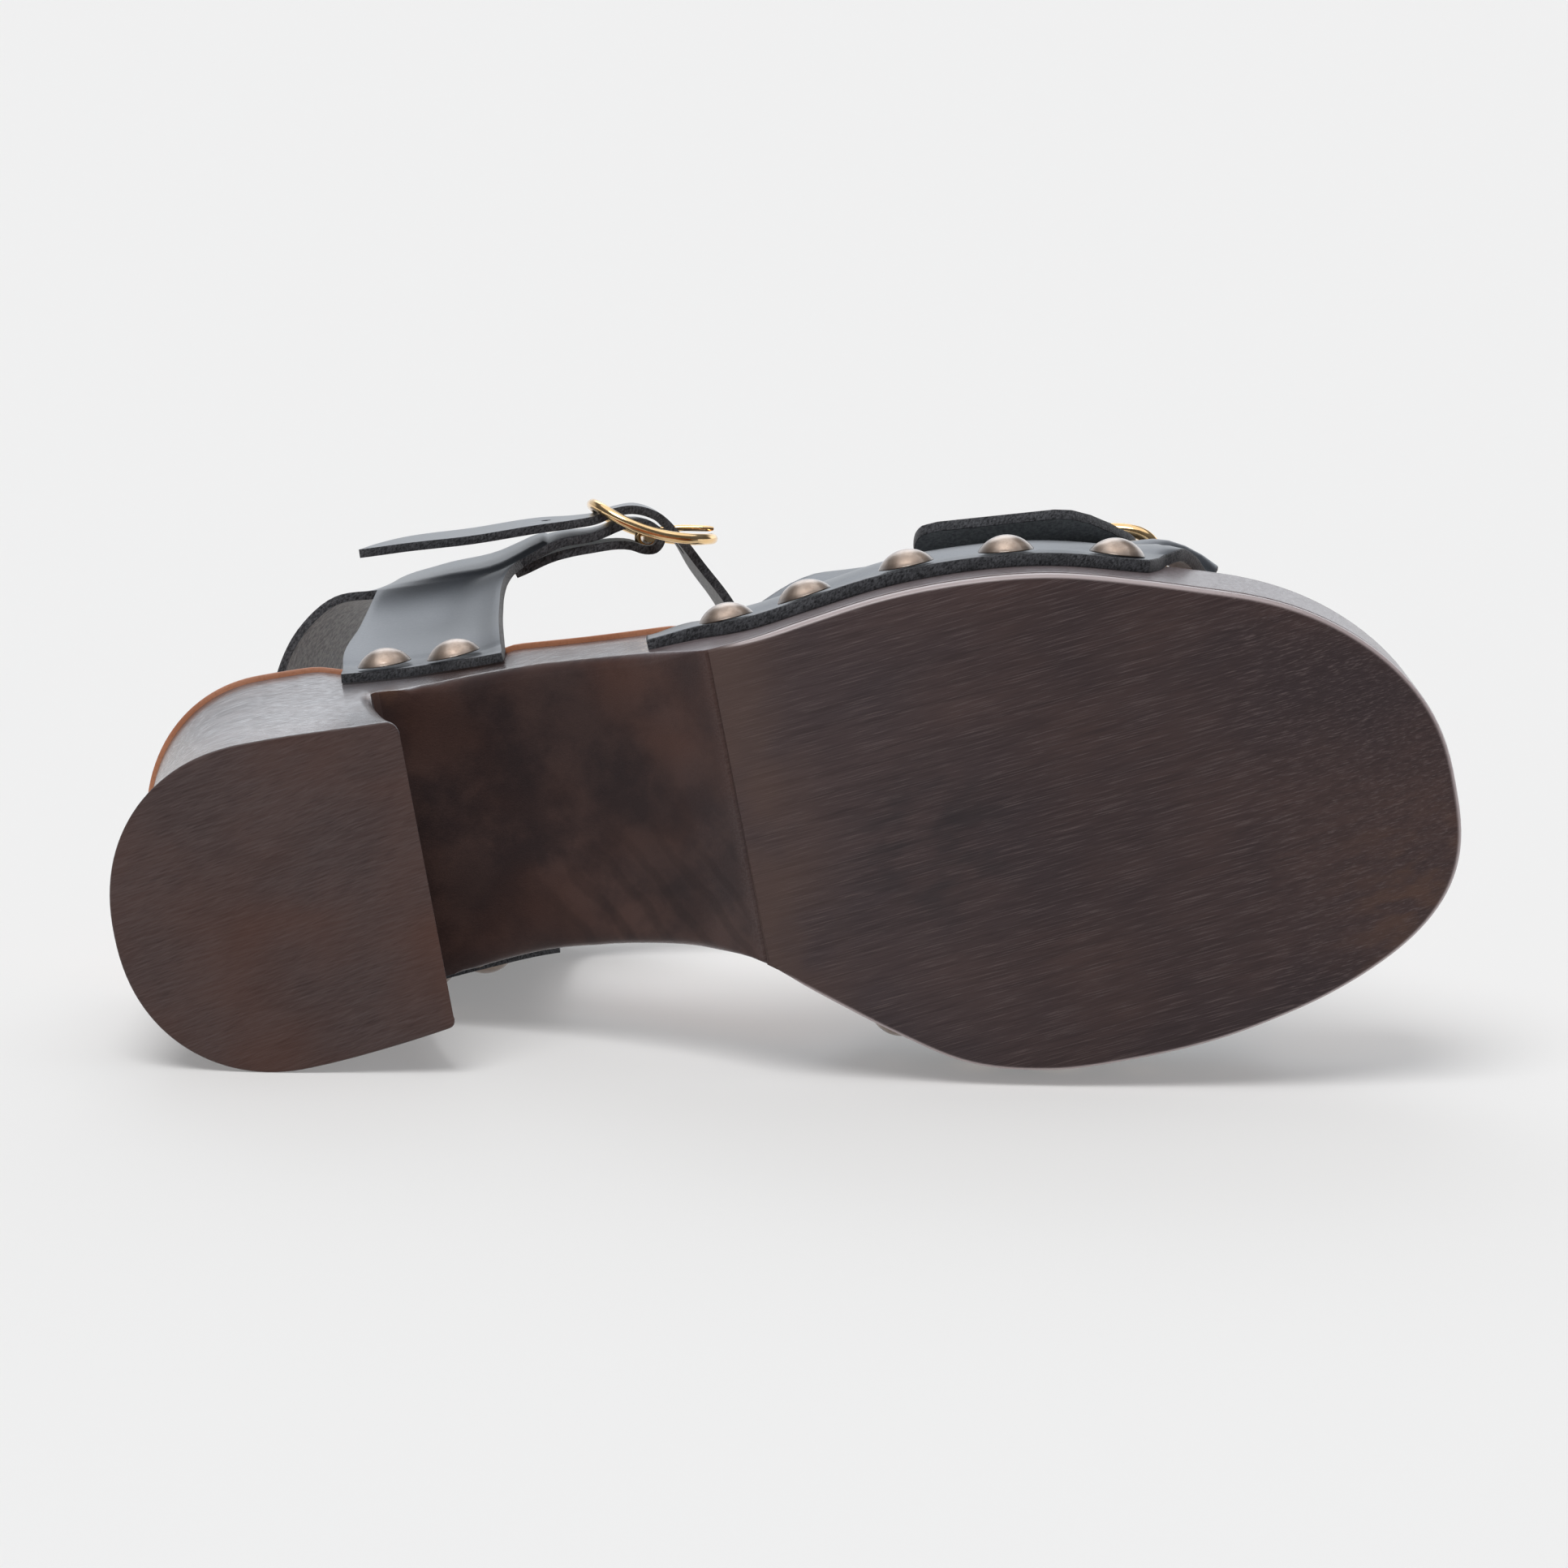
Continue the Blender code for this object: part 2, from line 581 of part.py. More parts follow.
def leg_path(x, band, side):
    """Way of a leg from the strap's lower edge down to its nailed foot."""
    height = section(x)[2]
    foot = side * wall(x, side, FIT + LEATHER / 2, NAILED_DEPTH)
    nailed = side * wall(x, side, FIT + LEATHER / 2, 2.0)
    over = side * wall(x, side, INSOLE_OVERHANG + 2 * FIT + LEATHER / 2)
    top = np.array(band)
    knee = np.array((x, over, height + 1.2))
    return [top, top * 0.5 + knee * 0.5, knee, np.array((x, nailed, height - 2.0)),
            np.array((x, foot, height - NAILED_DEPTH))]


for thing in list(bpy.data.objects):
    bpy.data.objects.remove(thing, do_unlink=True)

parts = bpy.data.collections.new("wooden_sole_shoe")
cutters = bpy.data.collections.new("cutters")
bpy.context.scene.collection.children.link(parts)
bpy.context.scene.collection.children.link(cutters)
lying = bpy.data.objects.new("lying", None)
cutters.objects.link(lying)

# Sole: the outline sawn from a block, hollowed under the waist
wood = slab("wooden_sole", wood_bottom, footbed,
            [(0.0, 0.0, RIM_BEVEL, 0.0), (0.0, RIM_BEVEL, 0.0, 0.0), (0.25, 0.0, 0.0, 0.25),
             (0.5, 0.0, 0.0, 0.5), (0.75, 0.0, 0.0, 0.75), (1.0, 0.0, 0.0, 1.0)], 6)
cut(wood, prism("arch_cutter", ARCH, 90.0))
finish(wood, "wood", 0.0, 0.4)

tread = slab("half_sole", lambda x, y: spring(x), lambda x, y: spring(x) + half_sole_at(x),
             [(0.0, 0.0, 1.0, 0.0), (0.4, 0.0, 0.1, 0.0), (0.82, 0.0, 0.0, 0.0), (1.0, 0.0, 0.25, 0.0)], 4)
cut(tread, prism("half_sole_cutter", [(-20.0, -5.0), (HALF_SOLE_END, -5.0), (HALF_SOLE_END, 12.0),
                                      (-20.0, 12.0)], 90.0))
finish(tread, "half_sole", 0.0, 0.5)

sock = slab("insole", lambda x, y: footbed(x, y) + FIT, lambda x, y: footbed(x, y) + FIT + INSOLE,
            [(0.0, 0.0, -INSOLE_OVERHANG, 1.0), (1.0, 0.0, -INSOLE_OVERHANG, 1.0)], 6)
finish(sock, "insole", 0.0, 0.5)

# Lateral vamp piece, with a narrow tail along the wood behind it and a slot for the prong
OUTER_STEPS = (1, 2, 2, 2, 3, 2, 1, 2, 1, 1, 1, 1, 1, 2, 1)
TAIL_ROWS = sum(OUTER_STEPS[:2]) + 1
TAIL_CELLS = 3
CENTRE_CELL = 4
outer = vamp_grid(vamp_outer_path, OUTER_EDGES, OUTER_STEPS, 10)
tail = []
for row in range(TAIL_ROWS):
    line = []
    for x in np.linspace(OUTER_TAIL, outer[row][0][0], TAIL_CELLS + 1)[:-1]:
        lateral, z = smooth_path(vamp_outer_path(x), OUTER_STEPS)[row]
        line.append((x, -lateral, z))
    tail.append(line)
grid = []
for row in range(len(outer)):
    behind = tail[row] if row < TAIL_ROWS else [outer[row][0]] * TAIL_CELLS
    grid.append(behind + list(outer[row]))
missing = {(i, j) for i in range(TAIL_ROWS - 1, len(grid)) for j in range(TAIL_CELLS)}
slot = range(sum(OUTER_STEPS[:7]) + 1, sum(OUTER_STEPS[:13]) + 1)
missing |= {(i, TAIL_CELLS + CENTRE_CELL) for i in slot}
finish(sheet("vamp_outer", grid, missing), "leather", 0.0, 0.4)

# Medial vamp piece, whose strap goes through the buckle to a trimmed end
INNER_STEPS = (1, 2, 2, 2, 2, 2, 1, 1, 1, 2, 2, 2, 2, 2, 2)
inner = vamp_grid(vamp_inner_path, INNER_EDGES, INNER_STEPS, 14)
hole = range(sum(INNER_STEPS[:9]) + 1, sum(INNER_STEPS[:11]))
finish(sheet("vamp_inner", inner, {(i, 6) for i in hole}), "leather", 0.0, 0.4)

# Quarter strap: sling, two nailed legs, a fold round the buckle's bar and the long ankle strap
BAND_CELLS = 5
r = LOOP_RADIUS
around = [(-3.0, -r), (0.0, -r), (r * 0.71, -r * 0.71), (r, 0.0), (r * 0.71, r * 0.71), (0.0, r), (-3.0, r)]
hump = [(0.0, r + LEATHER + FIT + 0.1)]
edges = [ankle_row(row) for row in QUARTER_FOLD] + at_bar(around)
edges += [ankle_row(row) for row in QUARTER_BAND] + at_bar(hump) + [ankle_row(row) for row in QUARTER_FREE]
names = [row[0] for row in QUARTER_FOLD] + ["bar"] * len(around)
names += [row[0] for row in QUARTER_BAND] + ["over the bar"] + [row[0] for row in QUARTER_FREE]
steps = [1 if name == "bar" and following == "bar" else 2 for name, following in zip(names, names[1:])]
low = smooth_path([e[0] for e in edges], steps)
high = smooth_path([e[1] for e in edges], steps)
first = np.concatenate(([0], np.cumsum(steps)))
band = [[tuple(a * (1 - k / BAND_CELLS) + b * k / BAND_CELLS) for k in range(BAND_CELLS + 1)]
        for a, b in zip(low, high)]
points = [p for row in band for p in row]
wide = BAND_CELLS + 1
faces = []
bar = [first[i] for i, name in enumerate(names) if name == "bar"]
rise = first[names.index("rise")]
slot = set(range(bar[0], bar[-1])) | {rise - 1, rise, rise + 1}
for i in range(len(band) - 1):
    for k in range(BAND_CELLS):
        if i not in slot or k != BAND_CELLS // 2:
            faces.append((i * wide + k, i * wide + k + 1, (i + 1) * wide + k + 1, (i + 1) * wide + k))
fronts = [first[i] for i, name in enumerate(names) if name == "leg front"]
backs = [first[i] for i, name in enumerate(names) if name == "leg back"]
for side, start, stop in ((-1, fronts[0], backs[0]), (1, backs[1], fronts[1])):
    feet = LEG_FOOT[::-1] if side < 0 else LEG_FOOT
    columns = []
    for i in range(start, stop + 1):
        x_foot = feet[0] + (feet[1] - feet[0]) * (i - start) / (stop - start)
        way = smooth_path(leg_path(x_foot, low[i], side), (2, 3, 2, 1))
        column = [i * wide]
        for p in way[1:]:
            column.append(len(points))
            points.append(tuple(p))
        columns.append(column)
    for a, b in zip(columns, columns[1:]):
        for k in range(len(a) - 1):
            faces.append((a[k], a[k + 1], b[k + 1], b[k]))
quarter = body("quarter_strap", points, faces)
thicken(quarter)
finish(quarter, "leather", 0.0, 0.4)

# Buckles and studs
buckle("vamp_buckle", at_vamp, VAMP_FRAME_HALF, VAMP_FRAME_WIRE, VAMP_FRAME_ARCH, 6.0, BAR_RADIUS)
prong("vamp_prong", at_vamp, BAR_RADIUS, VAMP_PRONG, VAMP_FRAME_HALF[0] + 1.2, 4.4)
buckle("ankle_buckle", at_ankle, ANKLE_FRAME_HALF, ANKLE_FRAME_WIRE, ANKLE_FRAME_ARCH, 3.0,
       BAR_RADIUS)
prong("ankle_prong", at_ankle, BAR_RADIUS, ANKLE_PRONG, ANKLE_FRAME_HALF[0] + 0.2, 4.65)
for label, places, side, edge in (("vamp_lateral", LATERAL_VAMP_STUDS, -1, NAILED_DEPTH),
                                  ("vamp_medial", MEDIAL_VAMP_STUDS, 1, MEDIAL_DEPTH),
                                  ("quarter_lateral", LATERAL_QUARTER_STUDS, -1, NAILED_DEPTH),
                                  ("quarter_medial", MEDIAL_QUARTER_STUDS, 1, NAILED_DEPTH)):
    for number, x in enumerate(places, 1):
        stud(f"stud_{label}_{number}", x, side, edge - STUD_ABOVE_EDGE)

# Lay the shoe down: medial side to the floor, toe to +x, sole facing -y, middle over the origin
turn = Matrix.Rotation(math.radians(-90.0), 4, "X")
drop = Matrix.Rotation(math.radians(-DROP_DEG), 4, "Y")
lean = Matrix.Rotation(math.radians(-LEAN_DEG), 4, "X")
lying.matrix_world = lean @ drop @ turn
bpy.context.view_layer.update()
graph = bpy.context.evaluated_depsgraph_get()
corners = []
for part in parts.objects:
    solid = part.evaluated_get(graph)
    corners += [solid.matrix_world @ v.co for v in solid.to_mesh().vertices]
corners = np.array(corners)
lowest = corners.min(axis=0)
highest = corners.max(axis=0)
middle = (lowest + highest) / 2
lying.location = (-middle[0], -middle[1], -lowest[2])
bpy.context.view_layer.update()
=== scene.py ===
"""Looks of a right clog sandal with a block heel, lying on its medial side.

Each piece is shaped standing, in millimetres, from the sizes of the part itself: x runs from the
back of the heel to the toe, y from the lateral side to the medial side, z up from the ground.
Its mesh is then turned to lie as the shoe lies.
"""
import math

import bmesh
import bpy
import numpy as np
from mathutils import Matrix, Vector


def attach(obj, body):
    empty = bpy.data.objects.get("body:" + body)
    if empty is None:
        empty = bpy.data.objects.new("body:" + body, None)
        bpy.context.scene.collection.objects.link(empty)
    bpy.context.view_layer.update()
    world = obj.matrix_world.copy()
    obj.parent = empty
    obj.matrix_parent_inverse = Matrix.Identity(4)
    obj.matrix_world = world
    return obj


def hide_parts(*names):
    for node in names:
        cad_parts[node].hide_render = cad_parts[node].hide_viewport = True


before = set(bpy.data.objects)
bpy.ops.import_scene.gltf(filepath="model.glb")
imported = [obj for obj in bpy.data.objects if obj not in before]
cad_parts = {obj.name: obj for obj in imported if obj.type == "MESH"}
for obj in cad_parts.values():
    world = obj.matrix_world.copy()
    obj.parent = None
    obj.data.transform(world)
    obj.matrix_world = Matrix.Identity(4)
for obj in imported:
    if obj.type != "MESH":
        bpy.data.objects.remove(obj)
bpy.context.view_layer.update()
scene = bpy.context.scene

MM = 0.001

# How the shoe lies: on its medial side, settled on heel rim, stud and strap
LEAN_DEG = -0.56
DROP_DEG = 12.02
LIES_AT = (-0.124746, -0.068061, 0.025925)

# Outline of the wood: x, half width lateral, half width medial, height of the footbed's edge
SECTIONS = np.array([
    (0, 30.6, 31.6, 69.6), (38, 30.8, 31.6, 70.2), (58, 30, 29.3, 66), (80, 30.8, 25, 51.4),
    (95, 31.2, 24.6, 41.2), (108, 31.7, 25.8, 33.2), (117, 32, 28.2, 28.8), (125, 32.4, 35, 26.4),
    (138, 34.2, 45.6, 25), (150, 35.7, 53.8, 24.6), (165, 36, 58.5, 24.5), (182, 34.3, 59.6, 24.6),
    (200, 29.4, 58.6, 25.2), (212, 25.4, 56.4, 25.9), (232, 18.9, 51.2, 27.4), (251, 12.4, 46.4, 29),
])
HEEL_BACK = -0.9
HEEL_ROUND = 31
HEEL_SQUARENESS = 2.2
TOE_START = 212
TOE_TIP = 250.6
TOE_SQUARENESS = 2.7
TOE_SWING = 3.6

# Wooden sole; a reach is where a change sets in along the sole, is full, fades and ends
FOOTBED_DISH = 1.4
DISH_FULL_HALF = 30
HEEL_WAIST = 1.5
HEEL_WAIST_FADE = 26
HEEL_WAIST_END = 86
LEAN_DEPTH = 16
LEAN_CURVE = 1.2
VAMP_LEAN = 2
VAMP_LEAN_REACH = (110, 124, 195, 207)
BALL_LEAN_LESS = 0.35
BALL_LEAN_FROM = 140
BALL_LEAN_OVER = 20
LEG_LEAN = 1.7
LEG_LEAN_REACH = (40, 50, 73, 82)
HEEL_DRAFT = 3.8
MEDIAL_DRAFT = 2.8
MEDIAL_DRAFT_REACH = (118, 142, 216, 246)
HALF_SOLE_END = 117.6
HEEL_FRONT = [(58.6, 0), (55.9, 15), (53.7, 30), (52.4, 41), (52.5, 43.4), (53.8, 44.2)]
ARCH = [(53.8, 44.2), (66, 38.2), (80, 30), (94, 20.8), (106, 11.2), (113, 4.6), (116.9, 0.95)]
HEEL_FRONT_STEPS = (7, 7, 5, 2, 2)
ARCH_STEPS = (6, 7, 7, 7, 4, 2)
WOOD_RIM = 0.6
WOOD_RIM_SEGMENTS = 3
HEEL_FRONT_RIM = 0.1
TOP_RIM = 0.12
WAIST_RIM = 2.4
WAIST_RIM_REACH = (56, 70, 104, 116)
HEEL_FAN = 22
HEEL_TOP_FRONT = 54
HEEL_EDGE_STEPS = (1.4, 0.9, 0.5, 0.2, 0)
HEEL_CORNER_LATERAL = 2.4
HEEL_CORNER_MEDIAL = 1.3
HEEL_CORNER_FROM = 40
HEEL_CORNER_END = 60
HEEL_CORNER_TOP = 43
HEEL_CORNER_FADE = 6
WALL_SHARES = (0.012, 0.028, 0.05, 0.08, 0.12, 0.17, 0.23, 0.3, 0.38, 0.47, 0.57, 0.68, 0.79, 0.9)
RIM_STEP_DEG = 18
ROUND_STEP_DEG = 3
ALONG_STEP = 2
ACROSS_CELLS = 20

# Half sole and insole
HALF_SOLE = 2.6
HALF_SOLE_SKIVED = 0.7
SKIVE = 16
TOE_SPRING = 4
SPRING_START = 204
INSOLE = 1.6
INSOLE_OVERHANG = 0.5
INSOLE_PROUD = 0.85
INSOLE_STANDS_IN = 3
STANDS_IN_FROM = 114
STANDS_IN_OVER = 14
FIT = 0.25
BACK_EDGE_LAP = 1

# Leather
LEATHER = 2.1
VAMP_LEATHER = 2.45
QUARTER_LEATHER = 1.75
CUT_ROUND = 0.38
CUT_ANGLE_DEG = 50
CREASE_DEG = 40
WELD = 0.02
NAILED_DEPTH = 13
MEDIAL_DEPTH = 12
VAMP_BENDS_AT = 2.6
MEDIAL_BENDS_AT = 1.6
LEG_BENDS_AT = 2
PAST_INSOLE = 1.2
CROWN_ABOVE_BAR = 3.4
FRONT_DROOP = 0.03
DROOP_SHARES = (0.9, 1.3, 1.55, 1.3)
DROOP_FROM = 204
LAYERS_APART = 0.1
DENSE = 3  # cells of a leather grid for each step of its way
PATHS = 72  # ways worked out across a vamp piece

# Dome studs
STUD_RADIUS = 5.3
STUD_HEIGHT = 3.1
STUD_LIP = 0.35
STUD_FOOT = ((0.3, 0), (0.04, 0.06), (0, 0.18), (0.05, 0.3))
STUD_DOME_IN = 0.12
STUD_RINGS = 12
STUD_SIDES = 48
STUD_ABOVE_EDGE = 5.7
STUD_SUNK_MEDIAL = 0.65
STUD_SUNK_QUARTER = 1.8
LATERAL_VAMP_STUDS = (122, 137.5, 157, 175.5, 195.5)
MEDIAL_VAMP_STUDS = (140.5, 154.5, 169, 184.5, 200)
LATERAL_QUARTER_STUDS = (55, 69)
MEDIAL_QUARTER_STUDS = (52.5, 64.5)

# Vamp buckle: its bar is a straight line over the lateral shoulder of the forefoot
BAR_BACK = (157, 20.5, 65)
BAR_FRONT = (207, 17.2, 59.6)
BAR_SLOPE_DEG = 28
BAR_RADIUS = 1.1
VAMP_FRAME_HALF = (12.6, 24.8)
VAMP_FRAME_WIRE = 1.3
VAMP_FRAME_ARCH = (0.0227, -0.127, 0)
VAMP_FRAME_SQUARE = 6
VAMP_MIDDLE_BACK = 0.4
VAMP_PRONG = 0.9
VAMP_PRONG_REACH = 13.8
VAMP_PRONG_OUT = 4.4
FRAME_STEPS = 160
BAR_STEPS = 9
BAR_SHORT = 0.5
WIRE_SIDES = 18
PRONG_SIDES = 14
PRONG_TAPER = (0.97, 0.86, 0.55)
PRONG_EYE_DEG = (350, 80, -13)
PRONG_STEPS = (2, 8, 8)

# Leather's way round either buckle's bar, along the strap and out from the bar, from its inner side
LOOP_RADIUS = BAR_RADIUS + FIT + LEATHER / 2
LOOP_SLANT = LOOP_RADIUS * 0.71
ROUND_BAR = [(0, -LOOP_RADIUS), (LOOP_SLANT, -LOOP_SLANT), (LOOP_RADIUS, 0), (LOOP_SLANT, LOOP_SLANT),
             (0, LOOP_RADIUS)]
OVER_BAR = LOOP_RADIUS + LEATHER + FIT + LAYERS_APART

# Ankle buckle: its bar stands upright on the lateral front of the ankle
ANKLE_BAR = (108.84, 36.8)
ANKLE_FRONT = (0.89, -0.456)
ANKLE_MID = 125
ANKLE_STRAP = 15
ANKLE_FRAME_HALF = (12.6, 11.4)
ANKLE_FRAME_WIRE = 1.1
ANKLE_FRAME_ARCH = (0.015, 0, 1)
ANKLE_LEAN = 0.11
FRAME_LEAN = 0.05
ANKLE_FRAME_SQUARE = 3
ANKLE_PRONG = 0.65
ANKLE_PRONG_REACH = 12.4
ANKLE_PRONG_OUT = 5.5

# Nailed pieces of the vamp, a row for each place on the way up: the back edge, the front edge. A climb
# and a crown are (in from the foot's side, up or below); the others are along and out from the bar
OUTER_EDGES = [(118, 201.5), (118.5, 205.4), (119.5, 208.4), (121.5, 211.6), (125.5, 214),
               (143, 215.8), (152, 214.5), (159.4, 203.6), (160.2, 202.8), (160.2, 202.8),
               (160.2, 202.8), (160.2, 202.8), (160.2, 202.8), (160.2, 202.8), (160.2, 202.8),
               (161.2, 201.8)]
OUTER_CLIMB = [(0.5, 9), (2.6, 17)]
OUTER_SHOULDER = [(-15.5, -5.4), (-11.6, -2.9), (-8, -0.6), (-2.8, 2.1)]
OUTER_FOLD_END = [(-5, -3.6), (-10, -6.2)]
OUTER_CELLS = 9
OUTER_SLOT = (7, 13)
OUTER_SLOT_CELL = 4
TAIL_CELLS = 4
OUTER_TAIL = 106.5
TAIL_END = 5.5
TAIL_PRESSED = 0.6
TAIL_ROOT = 10.4
OUTER_STEPS = (1, 2, 2, 2, 3, 2, 1, 2, 1, 1, 1, 1, 1, 2, 1)
INNER_EDGES = [(126, 207), (126.5, 208.5), (127.5, 210), (129, 211.5), (134, 214),
               (144, 213), (152, 209), (157.4, 204.8), (159.8, 203.2), (160, 203),
               (160, 203), (160, 203), (160, 203), (159.8, 202), (159.8, 197.8),
               (160.4, 194.2), (161.8, 190.8), (165.2, 187.2)]
INNER_STEPS = (1, 2, 2, 2, 2, 2, 1, 1, 1, 2, 2, 2, 2, 2, 1, 1, 1)
INNER_CLIMB = [(0.4, 9), (5.4, 21)]
INNER_CROWN = [(16.4, 8.4), (32, 1.6)]
INNER_STRAP = [(21, -7.4), (14.5, -4.6), (10.4, -2.3), (6, 1.4), (0, OVER_BAR), (-6, 3.7),
               (-12.6, 0.4), (-18.5, -2.5), (-22.2, -4.2), (-24.6, -5.3), (-25.6, -5.8)]
INNER_CELLS = 13
INNER_HOLE = (9, 11)
INNER_HOLE_CELL = 6

# Quarter strap, a row for each place on its way: lower edge x, lateral, z, then upper edge
QUARTER_FOLD = [
    ("fold end", 81.2, 34.9, 121, 81.2, 34.6, 129),
    ("fold", 83.4, 35.7, 118.8, 83.4, 35.4, 131),
    ("fold", 89, 37.2, 118.2, 89, 36.6, 131.8),
    ("fold", 97, 37.6, 118, 97, 36.5, 132),
]
QUARTER_BAND = [
    ("buckle side", 98, 39.9, 117.6, 98, 39, 132.6),
    ("buckle side", 91, 39.9, 117.2, 91, 39.5, 132.8),
    ("buckle side", 86.4, 38.7, 116.4, 86.4, 38.9, 133),
    ("leg front", 83, 37.6, 115.6, 83, 38, 133.1),
    ("leg", 78.6, 36.5, 114.2, 78.8, 37, 133.2),
    ("leg", 66, 36.6, 113.5, 66.5, 36.4, 133.6),
    ("leg back", 53.4, 37, 114.5, 56, 35, 134),
    ("sling", 45, 37.4, 114, 49, 29.6, 134.2),
    ("sling", 36.8, 32.6, 113.2, 42.6, 22.4, 134),
    ("sling", 30.6, 24, 112.4, 39.2, 13.6, 133.6),
    ("sling back", 26.6, 9.6, 112, 37.6, 3.6, 133.2),
    ("sling", 27.2, -8, 112.4, 38.4, -9, 133.2),
    ("sling", 32.2, -23.4, 113, 42.4, -20.6, 133.4),
    ("sling", 40.4, -33.6, 113.8, 48.4, -29.6, 133.6),
    ("leg back", 50.4, -37.3, 114.4, 56.8, -34.8, 133.6),
    ("leg", 64, -38, 113.6, 67, -36.8, 133.2),
    ("leg", 78.6, -36.7, 114, 79, -36.1, 132.8),
    ("leg front", 83, -35.8, 114.9, 83.2, -35.2, 132.7),
    ("instep", 94, -32.4, 117, 93.4, -31.4, 132.4),
    ("instep", 109, -26, 117.4, 107.6, -24.2, 132.4),
    ("instep", 119.5, -15, 117.5, 117.2, -13.6, 132.5),
    ("instep", 125, -1.4, 117.5, 122.2, -1.2, 132.5),
    ("instep", 125.8, 11, 117.5, 123, 10.6, 132.5),
    ("instep", 122.8, 21.6, 117.5, 120.4, 20.2, 132.5),
    ("under the frame", 118.6, 30, 117.5, 116.6, 28.4, 132.5),
    ("rise", 115.3, 36.4, 117.5, 114.2, 35, 132.5),
]
QUARTER_FREE = [
    ("hump", 107, 43.9, 118, 107, 42.5, 132),
    ("hump", 103.2, 44, 118, 103.2, 42.6, 132),
    ("under the frame", 99.2, 43.2, 118, 99.2, 42, 132),
    ("under the frame", 95, 43.2, 118, 95, 42.2, 132),
    ("free end", 88, 43.6, 117.6, 88, 43, 132.4),
    ("free end", 74, 43.9, 117.8, 74, 43.5, 132),
    ("free end", 60, 44.8, 118.6, 60, 44.5, 130),
    ("tip", 53.4, 45, 119.4, 54.2, 44.8, 125.2),
    ("tip", 51, 45, 120.4, 51.2, 44.9, 121),
]
LEG_FOOT = (46.5, 78.5)
BAND_CELLS = 5
LEG_FLARE = [(0, 1, 0), (0.05, 0.66, 0.19), (0.14, 0.34, 0.48), (0.3, 0.1, 0.84), (0.5, 0, 1)]
LEG_STEPS = (1, 1, 1, 1, 2, 2, 1)
LEG_TROUGH = 0.45
LEG_TROUGH_LESS = 0.5
STRAP_STEP = 0.75
STRAP_STEP_WIDTH = 0.2
STRAP_STEP_REACH = (46, 72, 83, 99)
STRAP_STEP_ROWS = (3, 8)
BAR_BESIDE = 3
STRAP_HOLES = (89.6, 101)
HOLE_RADIUS = 1.05

# Camera, as the photograph was taken
CAMERA_AT = (-0.04901, -1.29955, 0.2676)
CAMERA_RIGHT = (0.9991, -0.0338, 0.0274)
CAMERA_UP = (-0.0213, 0.1694, 0.9853)
CAMERA_VIEW = (0.0379, 0.985, -0.1686)
CAMERA_LENS = 154.43
CAMERA_SENSOR = 36

# Light: a soft key from above the camera, a fill from straight above that throws no shadow, a pale
# panel behind the shoe with a brighter strip above it, and one overhead
AMBIENT = 0.11
BACK_PANEL = 0.9
BACK_STRIP = 1.9
TOP_PANEL = 0.12
KEY = 1.5
KEY_FROM = (-0.25, -0.6, 1)
KEY_SPREAD_DEG = 32
FILL = 0.95
FILL_FROM = (0, 0, 1)
FILL_SPREAD_DEG = 70
STUDIO_TINT = (0.92, 0.955, 1, 1)
FLOOR_CORNERS = [(-12, -6, 0), (12, -6, 0), (12, 18, 0), (-12, 18, 0)]


def lay_down():
    """Turn that lays the standing shoe on its medial side."""
    turn = Matrix.Rotation(math.radians(-90), 4, "X")
    drop = Matrix.Rotation(math.radians(-DROP_DEG), 4, "Y")
    lean = Matrix.Rotation(math.radians(-LEAN_DEG), 4, "X")
    return Matrix.Translation(LIES_AT) @ lean @ drop @ turn


LYING = lay_down()


class Signal:
    """A number that changes over a surface: sums on it add Math nodes to its finish."""

    def __init__(self, finish, socket):
        self.finish = finish
        self.socket = socket

    def maths(self, operation, *terms):
        return self.finish.node("ShaderNodeMath", {"operation": operation}, *terms)

    def __add__(self, other):
        return self.maths("ADD", self, other)

    def __sub__(self, other):
        return self.maths("SUBTRACT", self, other)

    def __mul__(self, other):
        return self.maths("MULTIPLY", self, other)

    def __rsub__(self, other):
        return self.maths("SUBTRACT", other, self)

    def __abs__(self):
        return self.maths("ABSOLUTE", self)

    __radd__ = __add__
    __rmul__ = __mul__

    def step(self, start, end):
        """0 below start, 1 above end, and a soft step between them."""
        settings = {"interpolation_type": "SMOOTHSTEP"}
        return self.finish.node("ShaderNodeMapRange", settings, self, start, end)


class Nodes:
    """A tree of shader nodes."""

    def __init__(self, tree):
        self.nodes = tree.nodes
        self.links = tree.links

    def node(self, kind, settings, *values, out=0, **named):
        """Adds a node: its settings first, then the values or links of its sockets."""
        made = self.nodes.new(kind)
        for key, value in settings.items():
            setattr(made, key, value)
        for index, value in enumerate(values):
            self.join(made.inputs[index], value)
        for key, value in named.items():
            self.join(made.inputs[key.replace("_", " ")], value)
        return Signal(self, made.outputs[out])

    def join(self, socket, value):
        if isinstance(value, Signal):
            self.links.new(value.socket, socket)
        else:
            socket.default_value = value

    def split(self, vector):
        """The three numbers of a vector."""
        outputs = self.node("ShaderNodeSeparateXYZ", {}, vector).socket.node.outputs
        return [Signal(self, outputs[k]) for k in range(3)]

    def mix(self, share, first, second):
        """Colour between two others."""
        made = self.nodes.new("ShaderNodeMix")
        made.data_type = "RGBA"
        self.join(made.inputs[0], share)
        self.join(made.inputs[6], first if isinstance(first, Signal) else (*first, 1))
        self.join(made.inputs[7], second if isinstance(second, Signal) else (*second, 1))
        return Signal(self, made.outputs[2])


